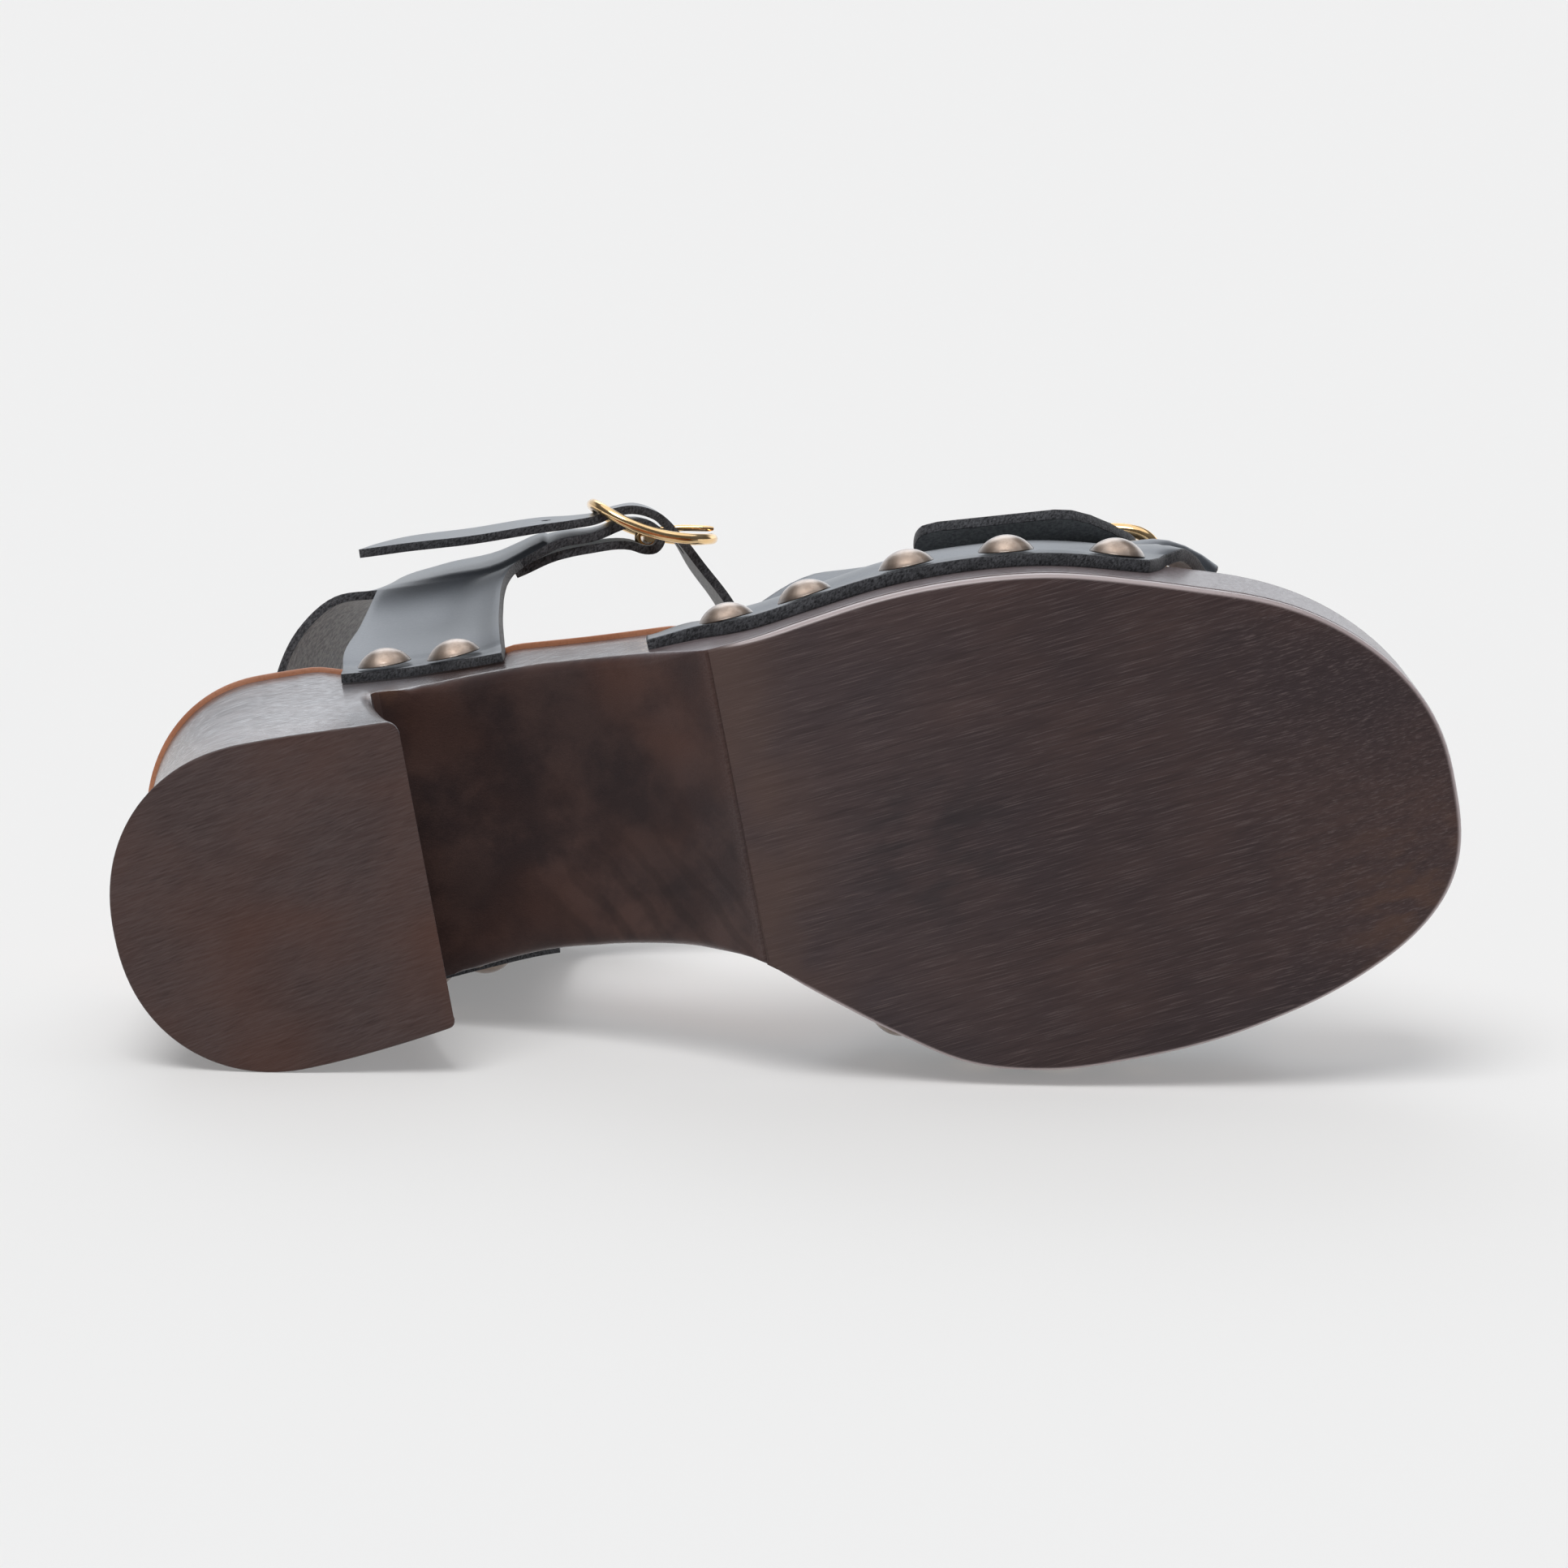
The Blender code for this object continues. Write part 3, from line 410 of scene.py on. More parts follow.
class Finish(Nodes):
    """A material with one principled shader; fixed are the sockets that are the same all over."""

    def __init__(self, name, **fixed):
        self.material = bpy.data.materials.new(name)
        self.material.use_nodes = True
        super().__init__(self.material.node_tree)
        self.shader = self.nodes["Principled BSDF"]
        for socket, value in fixed.items():
            self.shader.inputs[socket.replace("_", " ")].default_value = value
        place = self.node("ShaderNodeTexCoord", {}, out="Object")
        turn = LYING.to_euler()
        self.place = self.node("ShaderNodeMapping", {"vector_type": "TEXTURE"}, place,
                               Location=LYING.translation, Rotation=turn)

    def axes(self):
        """Where a point is on the standing shoe, in millimetres."""
        return [axis * (1 / MM) for axis in self.split(self.place)]

    def stretched(self, cell, turn_deg=0, seed=0):
        """The place for a texture whose cells have the given sizes in millimetres, turned about z."""
        turned = self.node("ShaderNodeVectorRotate", {"rotation_type": "Z_AXIS"}, self.place,
                           Angle=math.radians(turn_deg))
        factor = tuple(1 / (size * MM) for size in cell)
        return self.node("ShaderNodeVectorMath", {"operation": "MULTIPLY_ADD"}, turned, factor, (seed,) * 3)

    def noise(self, cell, turn_deg=0, seed=0, detail=2, roughness=0.5, distortion=0):
        """Soft noise from 0 to 1 with cells of the given sizes."""
        at = self.stretched(cell, turn_deg, seed)
        return self.node("ShaderNodeTexNoise", {}, Vector=at, Scale=1, Detail=detail,
                         Roughness=roughness, Distortion=distortion)

    def pores(self, size, seed=0):
        """Distance from the nearest of many scattered points, in cells of the given size."""
        at = self.stretched((size,) * 3, seed=seed)
        return self.node("ShaderNodeTexVoronoi", {}, Vector=at, Scale=1, out="Distance")

    def near(self, point, inner, outer):
        """1 within the inner distance of a point on the standing shoe and 0 beyond the outer one."""
        spot = tuple(p * MM for p in point)
        far = self.node("ShaderNodeVectorMath", {"operation": "DISTANCE"}, self.place, spot, out="Value")
        return 1 - far.step(inner * MM, outer * MM)

    def facing(self, direction):
        """How far the surface faces a direction of the standing shoe: 1 if straight to it."""
        normal = self.node("ShaderNodeTexCoord", {}, out="Normal")
        toward = (LYING.to_3x3() @ Vector(direction)).normalized()
        return self.node("ShaderNodeVectorMath", {"operation": "DOT_PRODUCT"}, normal, toward, out="Value")

    def mark(self, name):
        """A number kept with the points of the mesh."""
        return self.node("ShaderNodeAttribute", {"attribute_name": name}, out="Fac")

    def ground(self, share, first, second):
        """Gives the body a colour between two others."""
        self.body = self.mix(share, first, second)
        self.set("Base Color", self.body)

    def stain(self, share, colour):
        """Lays a share of another colour over the body's."""
        self.ground(share, self.body, colour)

    def set(self, socket, value):
        self.join(self.shader.inputs[socket], value)

    def relief(self, height, depth):
        """Raises the surface by the height; depth is in millimetres."""
        bump = self.node("ShaderNodeBump", {}, Strength=1, Distance=depth * MM, Height=height)
        self.set("Normal", bump)


def hermite(knots, rows, at):
    """Values at the given places of a smooth curve through the rows."""
    knots = np.asarray(knots, float)
    rows = np.asarray(rows, float)
    at = np.clip(np.asarray(at, float), knots[0], knots[-1])
    gap = np.diff(knots)
    slope = (np.diff(rows, axis=0).T / gap).T
    lead = np.empty_like(rows)
    lead[0] = slope[0]
    lead[-1] = slope[-1]
    for i in range(1, len(knots) - 1):
        lead[i] = (slope[i - 1] * gap[i] + slope[i] * gap[i - 1]) / (gap[i - 1] + gap[i])
    i = np.clip(np.searchsorted(knots, at, side="right") - 1, 0, len(gap) - 1)
    t = (at - knots[i]) / gap[i]
    shape = (-1,) + (1,) * (rows.ndim - 1)
    t = t.reshape(shape)
    g = gap[i].reshape(shape)
    return ((2 * t ** 3 - 3 * t ** 2 + 1) * rows[i] + (t ** 3 - 2 * t ** 2 + t) * g * lead[i]
            + (3 * t ** 2 - 2 * t ** 3) * rows[i + 1] + (t ** 3 - t ** 2) * g * lead[i + 1])


def smooth_path(controls, steps):
    """Points of a smooth path through the controls, with so many steps in each span."""
    controls = np.asarray(controls, float)
    span = np.linalg.norm(np.diff(controls, axis=0), axis=1)
    knots = np.concatenate(([0], np.cumsum(span)))
    at = []
    for i, count in enumerate(steps):
        at += [knots[i] + span[i] * k / count for k in range(count)]
    return hermite(knots, controls, at + [knots[-1]])


def clamp(share):
    """The share, kept from 0 to 1."""
    return min(max(share, 0), 1)


def ease(share):
    """Soft step from 0 to 1."""
    share = clamp(share)
    return share * share * (3 - 2 * share)


def within(x, start, full, fade, end):
    """Soft share along the sole: 0 up to the start, 1 from full to fade and 0 past the end."""
    return ease((x - start) / (full - start)) * ease((end - x) / (end - fade))


def circle(count):
    """Cosine and sine of so many even steps round a circle."""
    return [(math.cos(2 * math.pi * k / count), math.sin(2 * math.pi * k / count)) for k in range(count)]


def section(x):
    """Lateral and medial half width and footbed height of the wood at x."""
    lateral, medial, height = hermite(SECTIONS[:, 0], SECTIONS[:, 1:], [max(x, 0)])[0]
    heel = clamp((x - HEEL_BACK) / HEEL_ROUND)
    toe = clamp((x - TOE_START) / (TOE_TIP - TOE_START))
    narrow = (1 - (1 - heel) ** HEEL_SQUARENESS) ** (1 / HEEL_SQUARENESS)
    narrow *= (1 - toe ** TOE_SQUARENESS) ** (1 / TOE_SQUARENESS)
    middle = (medial - lateral) / 2
    half = (medial + lateral) / 2 * narrow
    middle += TOE_SWING * toe ** 2
    return half - middle, half + middle, height


def half_width(x, side):
    """Half width of the wood at x; side is -1 for lateral and 1 for medial."""
    return section(x)[0 if side < 0 else 1]


def spring(x):
    """Rise of the tread toward the toe."""
    return TOE_SPRING * max((x - SPRING_START) / (TOE_TIP - SPRING_START), 0) ** 2


def half_sole_at(x):
    """Thickness of the half sole, skived toward its back edge."""
    share = clamp((x - HALF_SOLE_END) / SKIVE)
    return HALF_SOLE_SKIVED + (HALF_SOLE - HALF_SOLE_SKIVED) * share


def footbed(x, y):
    """Height of the wood's dished top."""
    lateral, medial, height = section(x)
    half = max((lateral + medial) / 2, 0.5)
    across = min(abs(y - (medial - lateral) / 2) / half, 1)
    return height - FOOTBED_DISH * min(half / DISH_FULL_HALF, 1) ** 2 * (1 - across ** 2)


def inset_at(x, side, share):
    """How far the wood's wall stands in from the tread's edge at a share of its height."""
    waist = HEEL_WAIST * 4 * share * (1 - share) * clamp((HEEL_WAIST_END - x) / HEEL_WAIST_FADE)
    if side > 0:
        return waist + MEDIAL_DRAFT * share * within(x, *MEDIAL_DRAFT_REACH)
    above = max(1 - (1 - share) * section(x)[2] / LEAN_DEPTH, 0)
    lean = VAMP_LEAN * within(x, *VAMP_LEAN_REACH)
    lean *= 1 - BALL_LEAN_LESS * ease((x - BALL_LEAN_FROM) / BALL_LEAN_OVER)
    lean += LEG_LEAN * within(x, *LEG_LEAN_REACH)
    return waist + lean * above ** LEAN_CURVE


def wall(x, side, distance, depth=0):
    """Distance from the middle line of a wall standing so far off the wood, so deep below its top."""
    slope = (half_width(x + 1, side) - half_width(x - 1, side)) / 2
    inset = inset_at(x, side, 1 - depth / section(x)[2])
    return half_width(x, side) - inset + distance * math.hypot(1, slope)


def nailed(x, side, deep, bends_at):
    """Leather's distance from the middle line at its cut edge, where it bends and past the insole."""
    off = FIT + LEATHER / 2
    past = wall(x, side, INSOLE_OVERHANG + 2 * FIT + LEATHER / 2)
    return wall(x, side, off, deep), wall(x, side, off, bends_at), past


def rim_point(x, side, share, inset):
    """Point of the outline, so far in from it, at a share of the wall's height; side 0 is a tip."""
    if side == 0:
        out = -1 if x < TOE_START else 1
        drawn = inset + inset_at(x, -1, share)
        place = [x - out * drawn, (half_width(x, 1) - half_width(x, -1)) / 2]
    else:
        step = min(0.5, (x - HEEL_BACK) / 2, (TOE_TIP - x) / 2)
        run = np.array((2 * step, side * (half_width(x + step, side) - half_width(x - step, side))))
        run /= np.linalg.norm(run)
        inward = np.array((run[1], -run[0])) * side
        drawn = inset + inset_at(x, side, share)
        place = [x + inward[0] * drawn, side * half_width(x, side) + inward[1] * drawn]
    place[0] += HEEL_DRAFT * share * clamp(1 - (x - HEEL_BACK) / HEEL_ROUND)
    return place


def turned_ends(start, end, heel, toe):
    """Places along the sole from start to end, close together where its ends turn."""
    places = []
    if heel:
        places += [HEEL_BACK + HEEL_ROUND * (1 - math.cos(math.radians(a)))
                   for a in range(ROUND_STEP_DEG, 90, ROUND_STEP_DEG)]
        start = HEEL_BACK + HEEL_ROUND
    stop = TOE_START if toe else end
    places += list(np.linspace(start, stop, max(int((stop - start) / ALONG_STEP), 1) + 1))
    if toe:
        places += [TOE_START + (TOE_TIP - TOE_START) * math.sin(math.radians(a))
                   for a in range(ROUND_STEP_DEG, 90, ROUND_STEP_DEG)]
    return places


def plain_mesh(name, points, faces):
    """Mesh from points in millimetres."""
    mesh = bpy.data.meshes.new(name)
    mesh.from_pydata([Vector(p) * MM for p in points], [], faces)
    return mesh


def shown(name, node, slot, points, faces, finish):
    """A finished piece from points in millimetres; it stands for the node of the part."""
    made = bpy.data.objects.new(name, plain_mesh(name, points, faces))
    return settle(made, node, [finish])


def settle(made, node, finishes, zones=None):
    """Lays a piece down with the shoe and gives it its finishes."""
    mesh = made.data
    mesh.materials.clear()
    for finish in finishes:
        mesh.materials.append(finish.material)
    if zones is not None:
        mesh.polygons.foreach_set("material_index", zones)
    mesh.shade_smooth()
    mesh.set_sharp_from_angle(angle=math.radians(CREASE_DEG))
    mesh.transform(LYING)
    scene.collection.objects.link(made)
    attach(made, "root")
    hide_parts(node)
    return made


def block(columns, closed_back, high, levels, rim=lambda x, z: 1, drawn=lambda x, z, side: 0):
    """Points, faces and rows of the lower side of a slab of the sole.

    columns are the places along it, each (x below, z below, x above), and the slab ends in a point
    at the toe; levels are (share of the height, inset, lift) with inset and lift in rims of the
    column; high gives the height of its top and drawn how far its wall is drawn in besides.
    """
    tip = columns.pop()
    back = columns.pop(0) if closed_back else None
    walk = [(-1, c) for c in columns] + [(0, tip)] + [(1, c) for c in columns[::-1]]
    if closed_back:
        walk.append((0, back))
    tops = []
    for side, (x_low, z_low, x_high) in walk:
        inset = levels[-1][1] * rim(x_low, z_low) + drawn(x_high, section(x_high)[2], side)
        tops.append(high(*rim_point(x_high, side, 1, inset)))
    points = []
    for share, inset, lift in levels:
        for (side, (x_low, z_low, x_high)), top in zip(walk, tops):
            rounding = rim(x_low, z_low)
            x = x_low + (x_high - x_low) * share
            z = z_low + (top - z_low) * share + lift * rounding * (1 - share)
            pulled = inset * rounding + drawn(x, z, side)
            points.append((*rim_point(x, side, clamp(z / section(x)[2]), pulled), z))
    size = len(walk)
    count = len(columns)
    final = (len(levels) - 1) * size
    faces = []
    for ring in range(0, final, size):
        for i in range(size if closed_back else size - 1):
            j = (i + 1) % size
            faces.append((ring + i, ring + j, ring + size + j, ring + size + i))
    grids = []
    for ring in (0, final):
        rows = []
        for i in range(count):
            a = ring + i
            b = ring + 2 * count - i
            row = [a]
            for k in range(1, ACROSS_CELLS):
                share = k / ACROSS_CELLS
                x, y, z = np.array(points[a]) * (1 - share) + np.array(points[b]) * share
                row.append(len(points))
                points.append((x, y, z if ring == 0 else high(x, y)))
            rows.append(row + [b])
        faces += [(ring + count, rows[-1][k + 1], rows[-1][k]) for k in range(ACROSS_CELLS)]
        if closed_back:
            faces += [(ring + size - 1, rows[0][k], rows[0][k + 1]) for k in range(ACROSS_CELLS)]
        for a, b in zip(rows, rows[1:]):
            faces += [(a[k], b[k], b[k + 1], a[k + 1]) for k in range(ACROSS_CELLS)]
        grids.append(rows)
    if not closed_back:
        low, top = grids[0][0], grids[1][0]
        between = list(range(final - size, 0, -size))
        faces.append([low[0], low[1], top[1], top[0]] + between)
        faces += [(low[k], low[k + 1], top[k + 1], top[k]) for k in range(1, ACROSS_CELLS - 1)]
        between = [ring + size - 1 for ring in range(size, final, size)]
        faces.append([top[-2], low[-2], low[-1]] + between + [top[-1]])
    return points, faces, grids[0]


def rounded_body(name, points, faces, edges=()):
    """Closed body, all facing out, with the given edges rounded."""
    mesh = plain_mesh(name, points, faces)
    shape = bmesh.new()
    shape.from_mesh(mesh)
    shape.verts.ensure_lookup_table()
    sharp = [shape.edges.get((shape.verts[a], shape.verts[b])) for a, b in edges]
    bmesh.ops.recalc_face_normals(shape, faces=shape.faces)
    if sharp:
        bmesh.ops.bevel(shape, geom=sharp, offset=WOOD_RIM * MM, segments=WOOD_RIM_SEGMENTS, profile=0.5,
                        affect="EDGES", clamp_overlap=True)
    shape.to_mesh(mesh)
    shape.free()
    return bpy.data.objects.new(name, mesh)


def wood_rim(x, z):
    """How far the wood's lower rim is rounded: most under the waist."""
    if x < HEEL_FRONT[0][0] and 0 < z < ARCH[0][1]:
        return HEEL_FRONT_RIM
    return WOOD_RIM + (WAIST_RIM - WOOD_RIM) * within(x, *WAIST_RIM_REACH)


def heel_corner(x, z, side):
    """How far the wall is drawn in behind the rounded front corner of the heel."""
    if z > HEEL_CORNER_TOP or not HEEL_CORNER_FROM < x < HEEL_CORNER_END:
        return 0
    radius = HEEL_CORNER_LATERAL if side < 0 else HEEL_CORNER_MEDIAL
    places, heights = zip(*HEEL_FRONT[:4])
    behind = max(np.interp(z, heights, places) - x, 0)
    if behind >= radius:
        return 0
    drawn = radius - math.sqrt(radius ** 2 - (radius - behind) ** 2)
    return drawn * ease((HEEL_CORNER_TOP - z) / HEEL_CORNER_FADE)


def make_wood(finish):
    """Carved sole: heel, hollow under the waist and platform in one block."""
    front = HEEL_FRONT[0][0]
    turn = HEEL_BACK + HEEL_ROUND
    heel = turned_ends(turn, front, True, False)
    columns = [(HEEL_BACK, 0, HEEL_BACK)]
    for x in heel[:-1] + [front - back for back in HEEL_EDGE_STEPS]:
        columns.append((x, 0, x - HEEL_FAN * max(x - turn, 0) / (front - turn)))
    foot = len(columns) - 2
    above = front - HEEL_FAN
    breast = smooth_path(HEEL_FRONT, HEEL_FRONT_STEPS)
    for k, (x, z) in enumerate(breast[1:], 1):
        columns.append((x, z, above + (HEEL_TOP_FRONT - above) * k / (len(breast) - 1)))
    start = ARCH[0][0]
    for x, z in smooth_path(ARCH, ARCH_STEPS)[1:]:
        share = (x - start) / (HALF_SOLE_END - BACK_EDGE_LAP - start)
        columns.append((x, z, HEEL_TOP_FRONT + (HALF_SOLE_END - HEEL_TOP_FRONT) * share))
    for x in turned_ends(HALF_SOLE_END + BACK_EDGE_LAP, TOE_TIP, False, True) + [TOE_TIP]:
        columns.append((x, half_sole_at(x) + FIT + spring(x), x))
    angles = [math.radians(a) for a in range(0, 91, RIM_STEP_DEG)]
    levels = [(0, 1 - math.sin(a), 1 - math.cos(a)) for a in angles]
    levels += [(share, 0, 1) for share in WALL_SHARES]
    levels += [(0.99, 0, 0), (1, TOP_RIM, 0)]
    points, faces, rows = block(columns, True, footbed, levels, wood_rim, heel_corner)
    made = rounded_body("sole_of_wood", points, faces, list(zip(rows[foot], rows[foot][1:])))
    return settle(made, "wooden_sole", [finish])


def make_half_sole(finish):
    """Thin layer under the forefoot, with a rounded lower rim."""
    places = turned_ends(HALF_SOLE_END, TOE_TIP, False, True) + [TOE_TIP]
    columns = [(x, spring(x), x) for x in places]
    levels = [(0, 1, 0), (0.07, 0.62, 0), (0.17, 0.34, 0), (0.3, 0.14, 0), (0.45, 0.03, 0),
              (0.7, 0, 0), (0.88, 0.08, 0), (1, 0.25, 0)]
    points, faces, _ = block(columns, False, lambda x, y: spring(x) + half_sole_at(x), levels)
    made = rounded_body("half_sole_layer", points, faces)
    return settle(made, "half_sole", [finish])


def insole_edge(x, z, side):
    """The insole is proud of the wood behind the vamp and stands in from its edge under the toes."""
    return INSOLE_STANDS_IN * ease((x - STANDS_IN_FROM) / STANDS_IN_OVER)


def make_insole(finish):
    """Leather sock over the footbed."""
    places = [HEEL_BACK] + turned_ends(HEEL_BACK, TOE_TIP, True, True) + [TOE_TIP]
    columns = [(x, section(x)[2] + FIT, x) for x in places]
    levels = [(0, -0.4, 0), (0.2, -INSOLE_PROUD, 0), (0.7, -INSOLE_PROUD, 0),
              (0.92, -0.6 * INSOLE_PROUD, 0), (1, 0, 0)]
    points, faces, rows = block(columns, True, lambda x, y: footbed(x, y) + FIT + INSOLE, levels,
                                drawn=insole_edge)
    for row in rows:
        for i in row[1:-1]:
            x, y, _ = points[i]
            points[i] = (x, y, footbed(x, y) + FIT)
    made = rounded_body("insole_sock", points, faces)
    return settle(made, "insole", [finish])


def bar_at(x):
    """Middle of the vamp buckle's bar at x: lateral distance and height."""
    share = (x - BAR_BACK[0]) / (BAR_FRONT[0] - BAR_BACK[0])
    return np.array(BAR_BACK[1:]) * (1 - share) + np.array(BAR_FRONT[1:]) * share


def over_bar(x, places):
    """Points given along and out from the vamp buckle's bar, as lateral distance and height."""
    slope = math.radians(BAR_SLOPE_DEG)
    along = np.array((-math.cos(slope), math.sin(slope)))
    out = np.array((math.sin(slope), math.cos(slope)))
    return [bar_at(x) + along * s + out * n for s, n in places]


def vamp_outer_path(x):
    """Way of the lateral vamp piece at x: up the wood, over the shoulder, round the bar and back."""
    height = section(x)[2]
    foot, bend, over = nailed(x, -1, NAILED_DEPTH, VAMP_BENDS_AT)
    droop = FRONT_DROOP * max(x - DROOP_FROM, 0) ** 2
    climb = [(foot, height - NAILED_DEPTH), (bend, height - VAMP_BENDS_AT), (over, height + PAST_INSOLE)]
    climb += [(over - inward, height + up) for inward, up in OUTER_CLIMB]
    way = np.array(climb + over_bar(x, OUTER_SHOULDER + ROUND_BAR[::-1] + OUTER_FOLD_END))
    for place, share in zip(way[3:], DROOP_SHARES):
        place[0] -= droop * share
    return way


def vamp_inner_path(x):
    """Way of the medial vamp piece at x: up the wood, over the foot and through the buckle."""
    height = section(x)[2]
    foot, bend, over = nailed(x, 1, MEDIAL_DEPTH, MEDIAL_BENDS_AT)
    crown = bar_at(x)[1] + CROWN_ABOVE_BAR
    climb = [(foot, height - MEDIAL_DEPTH), (bend, height - MEDIAL_BENDS_AT), (over, height + PAST_INSOLE)]
    climb += [(over - inward, height + up) for inward, up in INNER_CLIMB]
    climb += [(over - inward, crown - below) for inward, below in INNER_CROWN]
    return [(-y, z) for y, z in climb] + over_bar(x, INNER_STRAP)


def vamp_grid(path, edges, steps, columns):
    """Grid of a vamp piece: a row for each step of its way, a column for each place across it."""
    at = np.arange(len(edges), dtype=float)
    where = []
    for i, count in enumerate(steps):
        where += [i + k / count for k in range(count)]
    where.append(len(steps))
    spread = hermite(at, np.array(edges), where)
    across = np.linspace(spread.min(), spread.max(), PATHS)
    paths = np.array([smooth_path(path(x), steps) for x in across])
    rows = []
    for row, (back, front) in enumerate(spread):
        xs = np.linspace(back, front, columns)
        line = hermite(across, paths[:, row], xs)
        rows.append([(x, -lateral, z) for x, (lateral, z) in zip(xs, line)])
    return rows


def grid_faces(rows, columns, skip):
    """Faces of a grid of points; cells in skip are left out."""
    faces = []
    for i in range(rows - 1):
        for j in range(columns - 1):
            if (i, j) not in skip:
                a = i * columns + j
                faces.append((a, a + 1, a + columns + 1, a + columns))
    return faces


def leather(name, node, points, faces, outward, finishes, thickness=LEATHER):
    """Leather of even thickness round a sheet of points, with its cut edges rounded.

    outward is a point of the sheet and a direction in which its grain side faces there.
    """
    mesh = plain_mesh(name, points, faces)
    shape = bmesh.new()
    shape.from_mesh(mesh)
    bmesh.ops.remove_doubles(shape, verts=shape.verts, dist=WELD * MM)
    loose = [v for v in shape.verts if not v.link_faces]
    bmesh.ops.delete(shape, geom=loose, context="VERTS")
    bmesh.ops.recalc_face_normals(shape, faces=shape.faces)
    spot = Vector(outward[0]) * MM
    nearest = min(shape.faces, key=lambda f: (f.calc_center_median() - spot).length)
    if nearest.normal.dot(Vector(outward[1])) < 0:
        bmesh.ops.reverse_faces(shape, faces=shape.faces)
    shape.to_mesh(mesh)
    shape.free()
    raw = bpy.data.objects.new(name + "_raw", mesh)
    scene.collection.objects.link(raw)
    for finish in finishes:
        mesh.materials.append(finish.material)
    thick = raw.modifiers.new("leather", "SOLIDIFY")
    thick.thickness = thickness * MM
    thick.offset = 0
    thick.use_even_offset = True
    thick.material_offset = 1
    thick.material_offset_rim = 2
    round_off = raw.modifiers.new("cut", "BEVEL")
    round_off.width = CUT_ROUND * MM
    round_off.segments = 2
    round_off.limit_method = "ANGLE"
    round_off.angle_limit = math.radians(CUT_ANGLE_DEG)
    round_off.material = 2
    bpy.context.view_layer.update()
    graph = bpy.context.evaluated_depsgraph_get()
    final = bpy.data.meshes.new_from_object(raw.evaluated_get(graph))
    bpy.data.objects.remove(raw)
    made = bpy.data.objects.new(name, final)
    zones = np.zeros(len(final.polygons), np.int32)
    final.polygons.foreach_get("material_index", zones)
    return settle(made, node, finishes, zones)


def make_vamp_outer(finishes):
    """Lateral vamp piece, with a narrow tail along the wood behind it and a slot for the prong."""
    steps = [count * DENSE for count in OUTER_STEPS]
    wide = OUTER_CELLS * DENSE + 1
    tail_rows = steps[0] + 1
    tail_cells = TAIL_CELLS * DENSE
    outer = vamp_grid(vamp_outer_path, OUTER_EDGES, steps, wide)
    grid = []
    for row, line in enumerate(outer):
        behind = [line[0]] * tail_cells
        if row < tail_rows:
            behind = []
            for x in np.linspace(OUTER_TAIL, line[0][0], tail_cells + 1)[:-1]:
                along = ease((x - OUTER_TAIL) / (line[0][0] - OUTER_TAIL))
                z = outer[0][0][2] + row / steps[0] * (TAIL_END + (TAIL_ROOT - TAIL_END) * along)
                off = FIT + LEATHER / 2 - TAIL_PRESSED * (1 - along)
                behind.append((x, -wall(x, -1, off, section(x)[2] - z), z))
        grid.append(behind + list(line))
    missing = {(i, j) for i in range(tail_rows - 1, len(grid)) for j in range(tail_cells)}
    slot = range(*(sum(steps[:row]) + DENSE for row in OUTER_SLOT))
    middle = tail_cells + OUTER_SLOT_CELL * DENSE
    missing |= {(i, j) for i in slot for j in range(middle, middle + DENSE)}
    points = [p for row in grid for p in row]
    faces = grid_faces(len(grid), len(grid[0]), missing)
    return leather("vamp_outer_leather", "vamp_outer", points, faces,
                   ((165, -38, 17), (0, -1, 0)), finishes, VAMP_LEATHER)


def make_vamp_inner(finishes):
    """Medial vamp piece, whose strap goes through the buckle to a trimmed end."""
    steps = [count * DENSE for count in INNER_STEPS]
    wide = INNER_CELLS * DENSE + 1
    inner = vamp_grid(vamp_inner_path, INNER_EDGES, steps, wide)
    hole = range(sum(steps[:INNER_HOLE[0]]) + DENSE, sum(steps[:INNER_HOLE[1]]))
    start = INNER_HOLE_CELL * DENSE
    missing = {(i, j) for i in hole for j in range(start, start + DENSE)}
    points = [p for row in inner for p in row]
    faces = grid_faces(len(inner), wide, missing)
    return leather("vamp_inner_leather", "vamp_inner", points, faces,
                   ((165, 58, 17), (0, 1, 0)), finishes)


def at_vamp(s, w, n):
    """Point along, across and out from the vamp buckle's middle."""
    x = (BAR_BACK[0] + BAR_FRONT[0]) / 2 - VAMP_MIDDLE_BACK + w
    lateral, z = over_bar(x, [(s, n)])[0]
    return (x, -lateral, z)


def at_ankle(s, w, n):
    """Point along, across and out from the ankle buckle's middle; the upper side leans in."""
    n = n - ANKLE_LEAN * w
    x = ANKLE_BAR[0] + ANKLE_FRONT[0] * s - ANKLE_FRONT[1] * n
    lateral = ANKLE_BAR[1] + ANKLE_FRONT[1] * s + ANKLE_FRONT[0] * n
    return (x, -lateral, ANKLE_MID + w)


def at_ankle_frame(s, w, n):
    """Point of the ankle buckle, which leans in a little more than its strap."""
    return at_ankle(s, w, n - FRAME_LEAN * w)


def strap_rows(table):
    """Name, lower edge and upper edge of the quarter strap at the rows of a table."""
    return [(row[0], (row[1], -row[2], row[3]), (row[4], -row[5], row[6])) for row in table]


def bar_rows(name, places):
    """The same at places along and out from the ankle buckle's bar."""
    half = ANKLE_STRAP / 2
    return [(name, at_ankle(s, -half, n), at_ankle(s, half, n)) for s, n in places]


